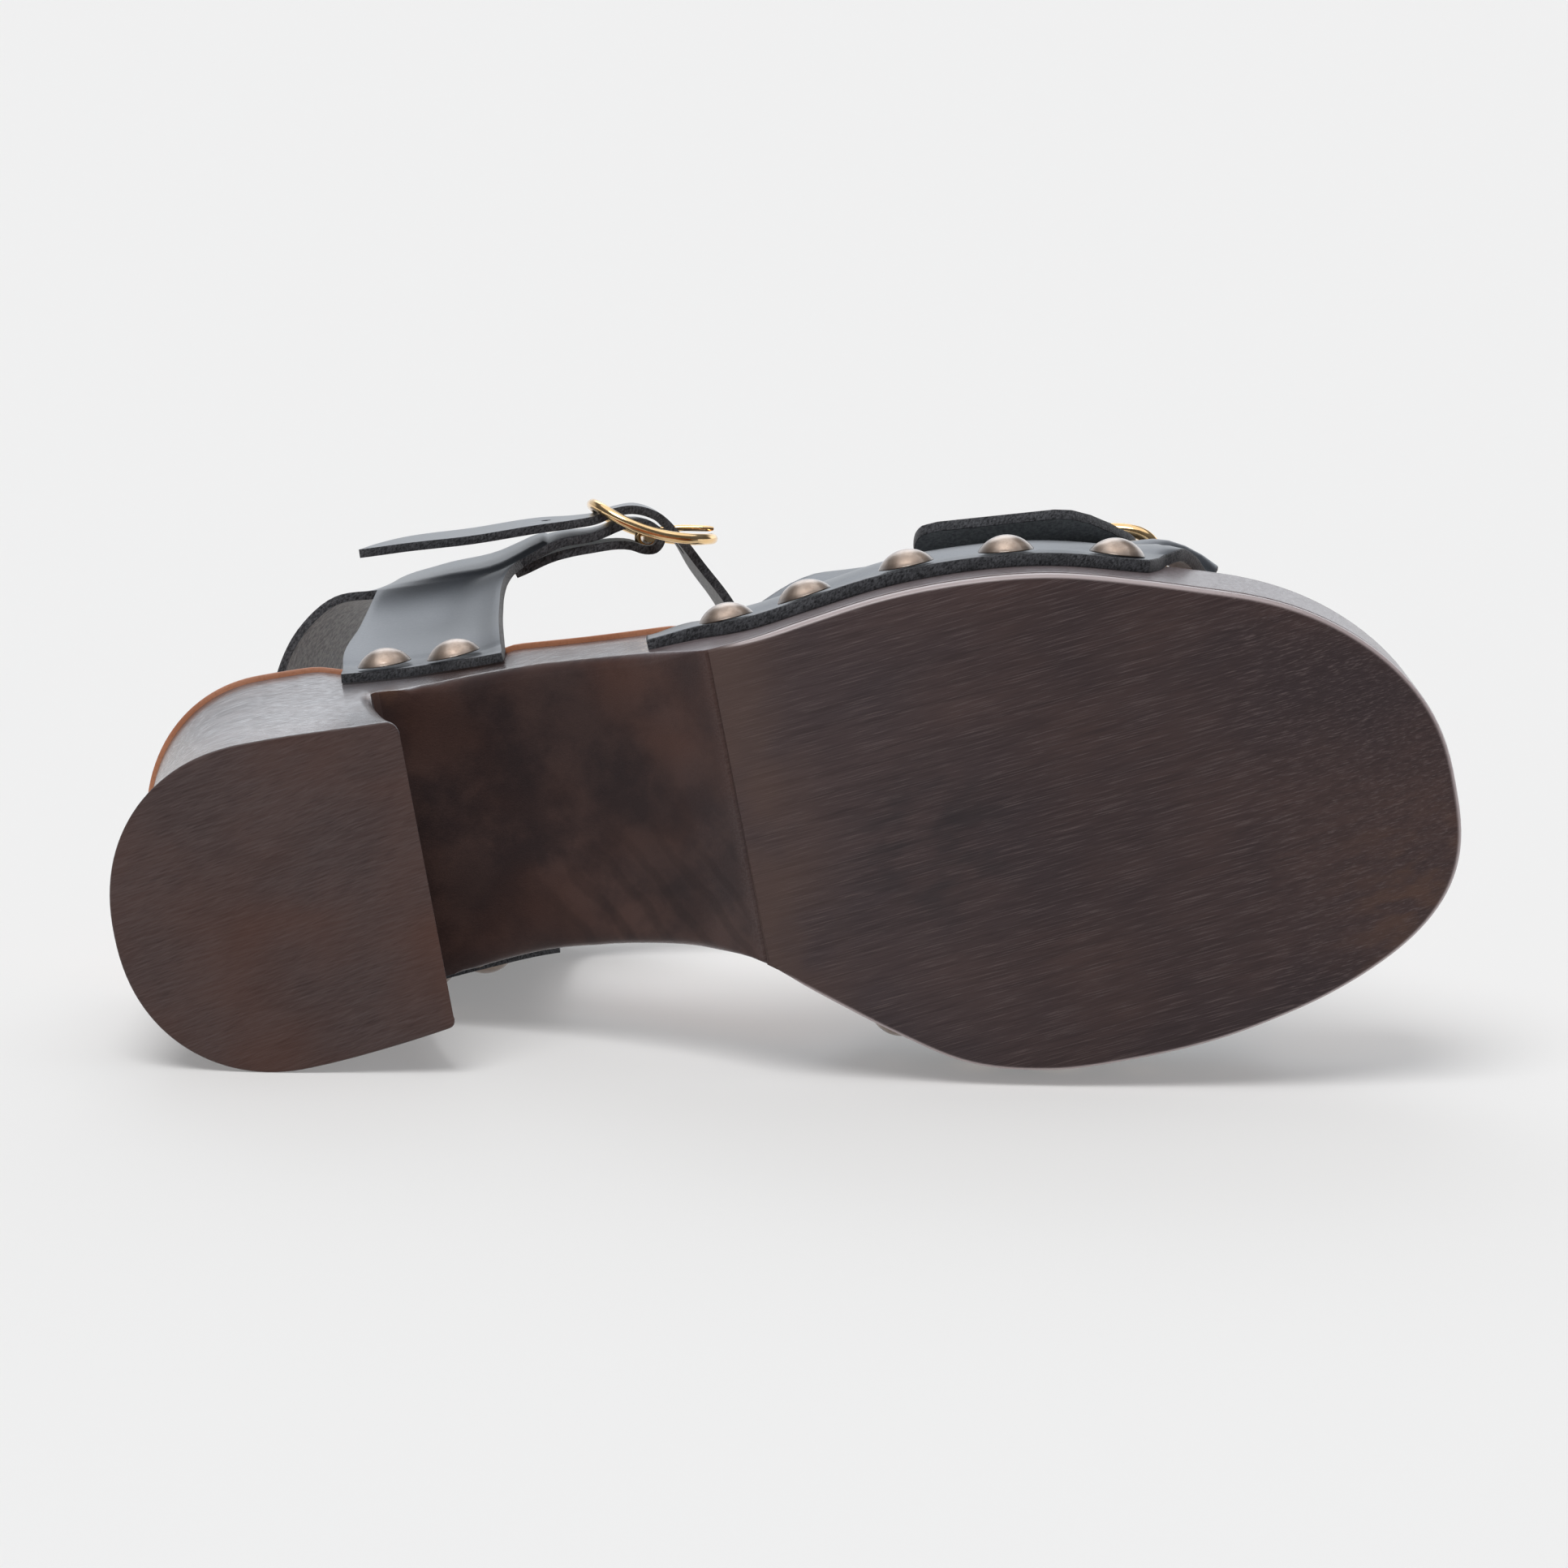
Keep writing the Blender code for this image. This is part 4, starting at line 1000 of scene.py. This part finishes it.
def leg_path(x, band, side, across):
    """Way of a leg from the strap's lower edge down to its nailed foot; across is 0 at its front edge."""
    height = section(x)[2]
    foot, bend, over = nailed(x, side, NAILED_DEPTH, LEG_BENDS_AT)
    top = np.array(band)
    knee = np.array((x, side * over, height + PAST_INSOLE))
    way = []
    for share, flare, trough in LEG_FLARE:
        point = top * (1 - share) + knee * share
        ahead = flare * (1 - across) + (1 - share) * across
        point[0] = x + (top[0] - x) * ahead
        point[1] -= side * LEG_TROUGH * trough * (1 - LEG_TROUGH_LESS * across)
        way.append(point)
    return way + [knee, (x, side * bend, height - LEG_BENDS_AT), (x, side * foot, height - NAILED_DEPTH)]


def bulged(point, share, side, weight):
    """Point of the strap pushed out above its legs, at a share of its width."""
    push = weight * STRAP_STEP * ease(share / STRAP_STEP_WIDTH)
    return (point[0], point[1] + side * push, point[2])


def punch(points, row, column, wide):
    """Turns the eight points round a point of a grid into the rim of a round hole; gives its cells."""
    middle = np.array(points[row * wide + column])
    for i in (-1, 0, 1):
        for j in (-1, 0, 1):
            if i or j:
                at = (row + i) * wide + column + j
                away = np.array(points[at]) - middle
                points[at] = tuple(middle + away * HOLE_RADIUS / np.linalg.norm(away))
    return {(row + i, column + j) for i in (-1, 0) for j in (-1, 0)}


def make_quarter(finishes):
    """Quarter strap: sling, two nailed legs, a fold round the buckle's bar and the long ankle strap."""
    around = [(-BAR_BESIDE, -LOOP_RADIUS)] + ROUND_BAR + [(-BAR_BESIDE, LOOP_RADIUS)]
    rows = strap_rows(QUARTER_FOLD) + bar_rows("bar", around) + strap_rows(QUARTER_BAND)
    rows += bar_rows("over the bar", [(0, OVER_BAR)]) + strap_rows(QUARTER_FREE)
    names, lower, upper = zip(*rows)
    steps = [DENSE * (1 if name == "bar" and following == "bar" else 2)
             for name, following in zip(names, names[1:])]
    low = smooth_path(lower, steps)
    high = smooth_path(upper, steps)
    first = np.concatenate(([0], np.cumsum(steps)))
    fronts = [first[i] for i, name in enumerate(names) if name == "leg front"]
    backs = [first[i] for i, name in enumerate(names) if name == "leg back"]
    cells = BAND_CELLS * DENSE
    wide = cells + 1
    points = []
    for i, (a, b) in enumerate(zip(low, high)):
        weight = 0
        if fronts[0] - STRAP_STEP_ROWS[0] * DENSE < i < backs[1] + STRAP_STEP_ROWS[1] * DENSE:
            weight = within(a[0], *STRAP_STEP_REACH)
        side = -1 if i < (backs[0] + backs[1]) / 2 else 1
        points += [bulged(a * (1 - k / cells) + b * k / cells, k / cells, side, weight) for k in range(wide)]
    bar = [first[i] for i, name in enumerate(names) if name == "bar"]
    rise = first[names.index("rise")]
    slot = set(range(bar[0], bar[-1])) | set(range(rise - DENSE, rise + 2 * DENSE))
    middle = range((BAND_CELLS // 2) * DENSE, (BAND_CELLS // 2 + 1) * DENSE)
    missing = {(i, k) for i in slot for k in middle}
    free = range(first[names.index("hump")], len(low))
    for x in STRAP_HOLES:
        row = min(free, key=lambda i: abs(low[i][0] - x))
        missing |= punch(points, row, cells // 2, wide)
    faces = grid_faces(len(low), wide, missing)
    for side, start, stop in ((-1, fronts[0], backs[0]), (1, backs[1], fronts[1])):
        feet = LEG_FOOT[::-1] if side < 0 else LEG_FOOT
        columns = []
        for i in range(start, stop + 1):
            share = (i - start) / (stop - start)
            x_foot = feet[0] + (feet[1] - feet[0]) * share
            way = leg_path(x_foot, low[i], side, share if side < 0 else 1 - share)
            way = smooth_path(way, [DENSE * n for n in LEG_STEPS])
            column = [i * wide]
            for p in way[1:]:
                column.append(len(points))
                points.append(tuple(p))
            columns.append(column)
        for a, b in zip(columns, columns[1:]):
            faces += [(a[k], a[k + 1], b[k + 1], b[k]) for k in range(len(a) - 1)]
    return leather("quarter_strap_leather", "quarter_strap", points, faces,
                   ((62, -36, 75), (0, -1, 0)), finishes, QUARTER_LEATHER)


def ring_faces(a, b, sides, shift=0):
    """Faces between ring a and ring b of a round shape."""
    faces = []
    for k in range(sides):
        m = (k + 1) % sides
        faces.append((a * sides + k, a * sides + m, b * sides + (m + shift) % sides,
                      b * sides + (k + shift) % sides))
    return faces


def sweep(places, radii, closed, sides=WIRE_SIDES):
    """Points and faces of a round wire along the places."""
    places = [Vector(p) for p in places]
    count = len(places)
    points = []
    faces = []
    across = None
    for i, place in enumerate(places):
        ahead = places[(i + 1) % count] if closed or i + 1 < count else place
        behind = places[i - 1] if closed or i > 0 else place
        run = (ahead - behind).normalized()
        if across is None:
            across = run.orthogonal().normalized()
        across = (across - run * across.dot(run)).normalized()
        other = run.cross(across)
        points += [place + (across * c + other * s) * radii[i] for c, s in circle(sides)]
    for i in range(count - 1):
        faces += ring_faces(i, i + 1, sides)
    if closed:
        run = (places[1] - places[-1]).normalized()
        carried = (across - run * across.dot(run)).normalized()
        turn = max(range(sides), key=lambda k: (points[k] - places[0]).normalized().dot(carried))
        faces += ring_faces(count - 1, 0, sides, turn)
    else:
        faces.append(tuple(range(sides))[::-1])
        faces.append(tuple((count - 1) * sides + k for k in range(sides)))
    return [tuple(p) for p in points], faces


def joined(shapes):
    """Several shapes as one list of points and one of faces."""
    points = []
    faces = []
    for more, some in shapes:
        faces += [tuple(i + len(points) for i in face) for face in some]
        points += more
    return points, faces


def rounded(half_along, half_across, squareness, count):
    """Ring of a rounded frame, along and across."""
    power = 2 / squareness
    return [(half_along * math.copysign(abs(c) ** power, c), half_across * math.copysign(abs(s) ** power, s))
            for c, s in circle(count)]


def make_buckle(name, node, place, half, radius, arch, squareness, finish):
    """Frame with its bar; place turns (along, across, out) into a point."""
    ring = rounded(*half, squareness, FRAME_STEPS)
    ring = [place(s, w, arch[0] * s * s + arch[1] * s + arch[2]) for s, w in ring]
    frame_wire = sweep(ring, [radius] * FRAME_STEPS, True)
    reach = half[1] - BAR_SHORT
    way = [place(0, w, 0) for w in np.linspace(-reach, reach, BAR_STEPS)]
    bar = sweep(way, [BAR_RADIUS] * BAR_STEPS, False)
    return shown(name, node, "gold", *joined((frame_wire, bar)), finish)


def make_prong(name, node, place, radius, reach, end, finish):
    """Prong: an eye round the bar and a pin that rests on the frame's far side."""
    eye = BAR_RADIUS + FIT + radius
    turns = [math.radians(a) for a in range(*PRONG_EYE_DEG)]
    way = [(eye * math.cos(a), eye * math.sin(a)) for a in turns]
    pin = [way[-1], (eye * 0.4, eye * 1.01), (reach * 0.5, (eye + end) / 2 + 0.1), (reach, end)]
    way += [tuple(p) for p in smooth_path(pin, PRONG_STEPS)[1:]]
    radii = [radius] * (len(way) - len(PRONG_TAPER)) + [radius * share for share in PRONG_TAPER]
    points, faces = sweep([place(s, 0, n) for s, n in way], radii, False, PRONG_SIDES)
    return shown(name, node, "gold", points, faces, finish)


def make_stud(name, node, x, side, depth, sunk, finish):
    """Dome nail, driven in so far, at a depth below the footbed's edge; side is -1 for lateral."""
    step = 2
    run = Vector((2 * step, side * (half_width(x + step, side) - half_width(x - step, side)), 0))
    out = Vector((-side * run.y, side * run.x, 0)).normalized()
    out.z = (wall(x, side, 0, depth + step) - wall(x, side, 0, depth - step)) / (2 * step)
    out.normalize()
    foot = Vector((x, side * wall(x, side, 0, depth), section(x)[2] - depth))
    seat = foot + out * (LEATHER + 2 * FIT + LAYERS_APART - sunk)
    rise = STUD_HEIGHT - STUD_LIP
    base = STUD_RADIUS - STUD_DOME_IN
    ball = (base ** 2 + rise ** 2) / (2 * rise)
    spread = math.asin(base / ball)
    profile = [(STUD_RADIUS - less, z) for less, z in STUD_FOOT]
    for k in range(STUD_RINGS):
        a = spread * (1 - k / STUD_RINGS)
        profile.append((ball * math.sin(a), STUD_HEIGHT - ball * (1 - math.cos(a))))
    along = out.orthogonal().normalized()
    other = out.cross(along)
    points = []
    for r, z in profile:
        points += [tuple(seat + (along * c + other * s) * r + out * z) for c, s in circle(STUD_SIDES)]
    points.append(tuple(seat + out * STUD_HEIGHT))
    last = len(profile) - 1
    faces = [tuple(range(STUD_SIDES))[::-1]]
    for i in range(last):
        faces += ring_faces(i, i + 1, STUD_SIDES)
    top = range(last * STUD_SIDES, len(points) - 1)
    faces += [(k, top[(i + 1) % STUD_SIDES], len(points) - 1) for i, k in enumerate(top)]
    made = shown(name, node, "stud", points, faces, finish)
    rises = [z / STUD_HEIGHT for r, z in profile for k in range(STUD_SIDES)] + [1]
    made.data.attributes.new("rise", "FLOAT", "POINT").data.foreach_set("value", rises)


def brushed(finish, length, width, turn_deg, seed):
    """Fine lines drawn along the sole with a brush, from 0 to 1."""
    lines = finish.noise((length, width, width), turn_deg, seed, detail=2, roughness=0.6)
    return lines.step(0.34, 0.72)


def stained_wood():
    """Dark stained and waxed wood, brushed along its length; its walls carry a painted reflection, the
    hollow under its arch painted shade, and the heel's front corners and breast are lighter brown, partly
    wear and partly a painted edge highlight.
    """
    finish = Finish("stained_wood", Coat_Roughness=0.2, Specular_IOR_Level=0.18)
    x, y, z = finish.axes()
    under = finish.facing((0, 0, -1)).step(0.35, 0.8)
    tread = under * (1 - z.step(0.8, 3))
    hollow = under - tread
    clouds = finish.noise((16, 13, 14), 20, 3, detail=5, roughness=0.6)
    lines = brushed(finish, 9, 0.34, 6, 11)
    ripples = finish.noise((4.2, 0.3, 0.3), 15, 5, detail=3, roughness=0.6, distortion=0.5)
    fine = finish.noise((0.9, 0.16, 0.16), 4, 8)
    finish.ground(clouds.step(0.36, 0.64), (0.047, 0.031, 0.0305), (0.088, 0.053, 0.047))
    finish.stain(tread * 0.6, (0.064, 0.0405, 0.038))
    finish.stain((1 - ripples.step(0.32, 0.46)) * 0.5 * tread, (0.03, 0.02, 0.0195))
    finish.stain(ripples.step(0.5, 0.68) * 0.6 * tread, (0.1, 0.07, 0.067))
    finish.stain(lines * (0.25 + 0.4 * fine) * (1 - hollow), (0.11, 0.082, 0.079))
    streaks = brushed(finish, 7, 0.45, 10, 51)
    # Painted reflection: the walls from the waist to the toe are painted pale grey along the brush lines,
    # standing in for the sheen of the bright studio seen at a grazing angle.
    side = (1 - under) * x.step(96, 116)
    finish.stain(side * (0.55 + 0.35 * lines), (0.22, 0.185, 0.195))
    # Painted reflection: the heel's walls are painted pale grey along brushed streaks, standing in for the
    # sheen of the bright studio.
    heel_wall_painted_sheen = (1 - under) * x.step(14, 46) * (1 - x.step(58, 70))
    finish.stain(heel_wall_painted_sheen * (0.3 + 0.7 * streaks) * 0.8, (0.26, 0.258, 0.28))
    rust = finish.noise((34, 26, 26), 0, 21).step(0.36, 0.8)
    finish.stain(rust * 0.6 * under, (0.098, 0.041, 0.027))
    growth = finish.node("ShaderNodeTexWave", {"wave_type": "RINGS", "rings_direction": "Y"},
                         Vector=finish.stretched((14, 14, 14), 24, 0.9), Scale=1, Distortion=2.2,
                         Detail=2, Detail_Scale=1.4, out="Fac")
    # Painted shade: the hollow under the arch is darkened in patches.
    hollow_painted_shade = finish.noise((30, 24, 30), 0, 31).step(0.42, 0.68)
    finish.stain(hollow * hollow_painted_shade * 0.38, (0.024, 0.0195, 0.0215))
    rings = growth.step(0.55, 0.95) * y.step(-6, 16) * x.step(70, 90)
    finish.stain(hollow * rings * 0.3, (0.024, 0.017, 0.0165))
    scuffs = finish.noise((3, 2, 4), 0, 41, detail=4).step(0.4, 0.62)
    # Lighter brown at the heel's front corners and along its breast: partly wear, partly a painted edge
    # highlight.
    corner = finish.near((54.2, -29.6, 42.5), 1.2, 6.5)
    foot = finish.near((55.2, 28, 20), 2, 16) * 0.7
    front = (1 - abs(x - 55).step(2.5, 8)) * z.step(4, 16) * (1 - z.step(38, 46)) * under * 0.35
    edge_highlight_and_wear = (corner * 0.55 + foot + front).step(0.05, 0.95) * (0.2 + 0.5 * scuffs)
    finish.stain(edge_highlight_and_wear, (0.15, 0.075, 0.045))
    finish.set("Roughness", 0.36 + 0.14 * ripples - 0.06 * clouds + 0.1 * under)
    polish = (0.8 + 0.22 * x.step(8, 45) - 0.45 * x.step(100, 118)) * (0.58 + 0.85 * streaks)
    finish.set("Coat Weight", polish * (1 - under) + 0.05 * under)
    finish.relief(ripples * (0.4 + 0.6 * under) + lines * 0.35 + fine * 0.15, 0.035)
    return finish


def half_sole_rubber():
    """Half sole, stained like the wood, with brush lines and a paler trimmed rim whose pale grey is partly a
    painted reflection.
    """
    finish = Finish("half_sole_rubber", Coat_Roughness=0.25, Specular_IOR_Level=0.18)
    x, y, z = finish.axes()
    under = finish.facing((0, 0, -1)).step(0.7, 0.98)
    clouds = finish.noise((38, 26, 30), 10, 14, detail=3)
    drawn = finish.noise((10, 0.22, 0.22), 5, 17, detail=3, roughness=0.65)
    lines = drawn.step(0.52, 0.68)
    broad = finish.noise((30, 1.1, 1.1), 5, 23, detail=2).step(0.4, 0.7)
    weave = finish.noise((0.35, 0.3, 0.3), 3, 29)
    finish.ground(clouds.step(0.32, 0.7), (0.046, 0.0315, 0.0335), (0.07, 0.043, 0.04))
    finish.stain(0.35 * (1 - x.step(128, 185)), (0.088, 0.068, 0.072))
    finish.stain(broad * 0.4, (0.037, 0.0245, 0.025))
    finish.stain((1 - drawn.step(0.34, 0.48)) * 0.45, (0.026, 0.018, 0.0195))
    finish.stain(lines * (0.35 + 0.7 * weave), (0.13, 0.097, 0.095))
    smudge = finish.noise((9, 5, 9), 5, 37).step(0.35, 0.7)
    smudge = smudge * finish.near((152, 12, 0), 2, 24)
    finish.stain(smudge * 0.55, (0.022, 0.0215, 0.025))
    rear = (1 - x.step(119, 138)) * finish.noise((14, 18, 9), 0, 43).step(0.25, 0.62)
    finish.stain(rear * 0.55, (0.112, 0.069, 0.055))
    toe = finish.noise((8, 3, 8), 5, 47).step(0.4, 0.68)
    toe = toe * finish.near((243, 40, 3), 2, 28)
    finish.stain(toe * 0.5, (0.115, 0.062, 0.042))
    # Paler trimmed rim: its side wall is painted pale grey, partly the rim's own colour and partly a painted
    # reflection of the bright studio.
    rim = (1 - under) * x.step(119, 125)
    finish.stain(rim * 0.85, (0.48, 0.395, 0.395))
    finish.set("Roughness", 0.5 + 0.14 * lines - 0.16 * rim)
    finish.set("Coat Weight", rim * 0.9)
    finish.relief(lines * 0.7 + broad * 0.3 + weave * 0.25, 0.035)
    return finish


def tan_leather():
    """Smooth vegetable-tanned leather of the insole."""
    finish = Finish("tan_insole", Specular_IOR_Level=0.4)
    clouds = finish.noise((24, 18, 18), 0, 2, detail=3)
    grain = finish.pores(0.55, 4)
    finish.ground(clouds.step(0.3, 0.7), (0.38, 0.145, 0.072), (0.48, 0.205, 0.11))
    finish.stain(grain.step(0.5, 0.9) * 0.35, (0.27, 0.095, 0.035))
    finish.set("Roughness", 0.42 + 0.2 * clouds)
    finish.relief(grain, 0.03)
    return finish


def black_grain():
    """Grain side of the black leather: smooth, lightly waxed, with fine pores."""
    finish = Finish("black_grain", Specular_IOR_Level=0.85, Specular_Tint=(0.7, 0.82, 1, 1),
                    Coat_Weight=0.62, Coat_Roughness=0.3)
    clouds = finish.noise((14, 9, 14), 30, 6, detail=3)
    pores = finish.pores(0.5, 9)
    creases = finish.noise((2.6, 1.5, 2), 35, 12, detail=3)
    finish.ground(clouds.step(0.3, 0.7), (0.0085, 0.0092, 0.0112), (0.0165, 0.018, 0.022))
    finish.set("Roughness", 0.34 + 0.06 * clouds + 0.05 * pores)
    finish.relief(pores * 0.5 + creases * 0.6, 0.03)
    return finish


def fibrous(name, cell, dark, light, depth, seed):
    """Raw leather: matted fibres, darker in the hollows between them."""
    finish = Finish(name, Roughness=0.95, Specular_IOR_Level=0.25, Sheen_Weight=0.25, Sheen_Roughness=0.5)
    fibres = finish.noise((cell * 2.2, cell, cell), 25, seed, detail=3, roughness=0.7)
    strands = finish.noise((cell, cell * 2.6, cell * 1.4), -20, seed + 7, detail=2, roughness=0.6)
    patches = finish.noise((cell * 18, cell * 14, cell * 16), 0, seed + 13)
    matted = fibres * 0.6 + strands * 0.4
    finish.ground(matted.step(0.34, 0.66) * (0.55 + 0.6 * patches), dark, light)
    finish.relief(matted, depth)
    return finish


def polished_gold():
    """Polished gilt wire with hairline scratches."""
    finish = Finish("polished_gold", Metallic=1)
    scratches = finish.noise((0.16, 2.2, 2.2), 20, 3, detail=3)
    clouds = finish.noise((6, 6, 6), 0, 5)
    finish.ground(clouds.step(0.3, 0.7), (0.86, 0.57, 0.275), (0.96, 0.69, 0.385))
    finish.set("Roughness", 0.08 + 0.1 * scratches.step(0.45, 0.7) + 0.04 * clouds)
    finish.relief(scratches, 0.004)
    return finish


def antique_dome():
    """Antique finish of the dome nails: brushed and flecked, and darkened round the foot, partly patina and
    partly painted shade.
    """
    finish = Finish("antique_dome", Metallic=1, Coat_Weight=1, Coat_Roughness=0.1)
    flecks = finish.noise((0.55, 0.55, 0.55), 0, 2, detail=4, roughness=0.7)
    clouds = finish.noise((2.4, 2.4, 2.4), 0, 8, detail=3)
    rise = finish.mark("rise")
    finish.ground(clouds.step(0.35, 0.65), (0.36, 0.272, 0.215), (0.49, 0.382, 0.31))
    finish.stain(flecks.step(0.52, 0.75) * 0.5, (0.24, 0.165, 0.125))
    # Darker toward the foot of the dome: partly patina, partly painted shade where the dome meets the
    # leather.
    finish.stain((1 - rise.step(0.02, 0.45)) * 0.75, (0.1, 0.075, 0.06))
    finish.set("Roughness", 0.3 + 0.16 * flecks + 0.1 * (1 - rise))
    finish.relief(flecks, 0.012)
    return finish


def pale_paper():
    """Plain pale floor."""
    finish = Finish("pale_paper", Roughness=1, Specular_IOR_Level=0, Emission_Strength=0.12,
                    Emission_Color=(1, 1, 1, 1))
    finish.set("Base Color", (0.755, 0.747, 0.738, 1))
    return finish


wood = stained_wood()
tread = half_sole_rubber()
tan = tan_leather()
flesh = fibrous("charcoal_flesh", 0.55, (0.175, 0.188, 0.195), (0.4, 0.42, 0.425), 0.14, 3)
cut = fibrous("cut_edge", 0.34, (0.01, 0.0105, 0.0125), (0.112, 0.114, 0.125), 0.2, 19)
hide = [black_grain(), flesh, cut]
gold = polished_gold()
antique = antique_dome()

make_wood(wood)
make_half_sole(tread)
make_insole(tan)
make_vamp_outer(hide)
make_vamp_inner(hide)
make_quarter(hide)
make_buckle("vamp_buckle_wire", "vamp_buckle", at_vamp, VAMP_FRAME_HALF, VAMP_FRAME_WIRE, VAMP_FRAME_ARCH,
            VAMP_FRAME_SQUARE, gold)
make_prong("vamp_prong_pin", "vamp_prong", at_vamp, VAMP_PRONG, VAMP_PRONG_REACH, VAMP_PRONG_OUT, gold)
make_buckle("ankle_buckle_wire", "ankle_buckle", at_ankle_frame, ANKLE_FRAME_HALF, ANKLE_FRAME_WIRE,
            ANKLE_FRAME_ARCH, ANKLE_FRAME_SQUARE, gold)
make_prong("ankle_prong_pin", "ankle_prong", at_ankle, ANKLE_PRONG, ANKLE_PRONG_REACH, ANKLE_PRONG_OUT, gold)
for label, places, side, edge, sunk in (
        ("vamp_lateral", LATERAL_VAMP_STUDS, -1, NAILED_DEPTH, 0),
        ("vamp_medial", MEDIAL_VAMP_STUDS, 1, MEDIAL_DEPTH, STUD_SUNK_MEDIAL),
        ("quarter_lateral", LATERAL_QUARTER_STUDS, -1, NAILED_DEPTH, 0),
        ("quarter_medial", MEDIAL_QUARTER_STUDS, 1, NAILED_DEPTH, STUD_SUNK_QUARTER)):
    for number, x in enumerate(places, 1):
        make_stud(f"dome_{label}_{number}", f"stud_{label}_{number}", x, side, edge - STUD_ABOVE_EDGE, sunk,
                  antique)

# Floor and light
floor_mesh = bpy.data.meshes.new("floor")
floor_mesh.from_pydata(FLOOR_CORNERS, [], [(0, 1, 2, 3)])
floor = bpy.data.objects.new("floor", floor_mesh)
scene.collection.objects.link(floor)
floor_mesh.materials.append(pale_paper().material)

world = bpy.data.worlds.new("studio")
scene.world = world
world.use_nodes = True
studio = Nodes(world.node_tree)
across, depth, height = studio.split(studio.node("ShaderNodeTexCoord", {}, out="Generated"))
behind = depth.step(0.3, 0.6) * (1 - height.step(0.3, 0.62)) * height.step(-0.05, 0.02) * (1 + 0.6 * across)
strip = (1 - abs(across + 0.08).step(0.14, 0.36)) * height.step(0.3, 0.55) * (1 - height.step(0.66, 0.88))
strip = strip * depth.step(0.1, 0.4)
overhead = height.step(0.45, 0.95)
glow = AMBIENT + BACK_PANEL * behind + BACK_STRIP * strip + TOP_PANEL * overhead
background = world.node_tree.nodes["Background"]
studio.join(background.inputs["Color"], STUDIO_TINT)
studio.join(background.inputs["Strength"], glow)
for name, power, source, spread, shadow in (("key", KEY, KEY_FROM, KEY_SPREAD_DEG, True),
                                            ("fill", FILL, FILL_FROM, FILL_SPREAD_DEG, False)):
    lamp = bpy.data.lights.new(name, "SUN")
    lamp.energy = power
    lamp.angle = math.radians(spread)
    lamp.use_shadow = shadow
    light = bpy.data.objects.new(name, lamp)
    light.rotation_euler = Vector(source).to_track_quat("Z", "Y").to_euler()
    scene.collection.objects.link(light)

camera = bpy.data.cameras.new("camera")
camera.lens = CAMERA_LENS
camera.sensor_width = CAMERA_SENSOR
camera.clip_end = 60
viewer = bpy.data.objects.new("camera", camera)
right = Vector(CAMERA_RIGHT)
up = Vector(CAMERA_UP)
view = Vector(CAMERA_VIEW)
turn = Matrix((right, up, -view)).transposed().to_4x4()
viewer.matrix_world = Matrix.Translation(CAMERA_AT) @ turn
scene.collection.objects.link(viewer)
scene.camera = viewer
scene.view_settings.view_transform = "Standard"
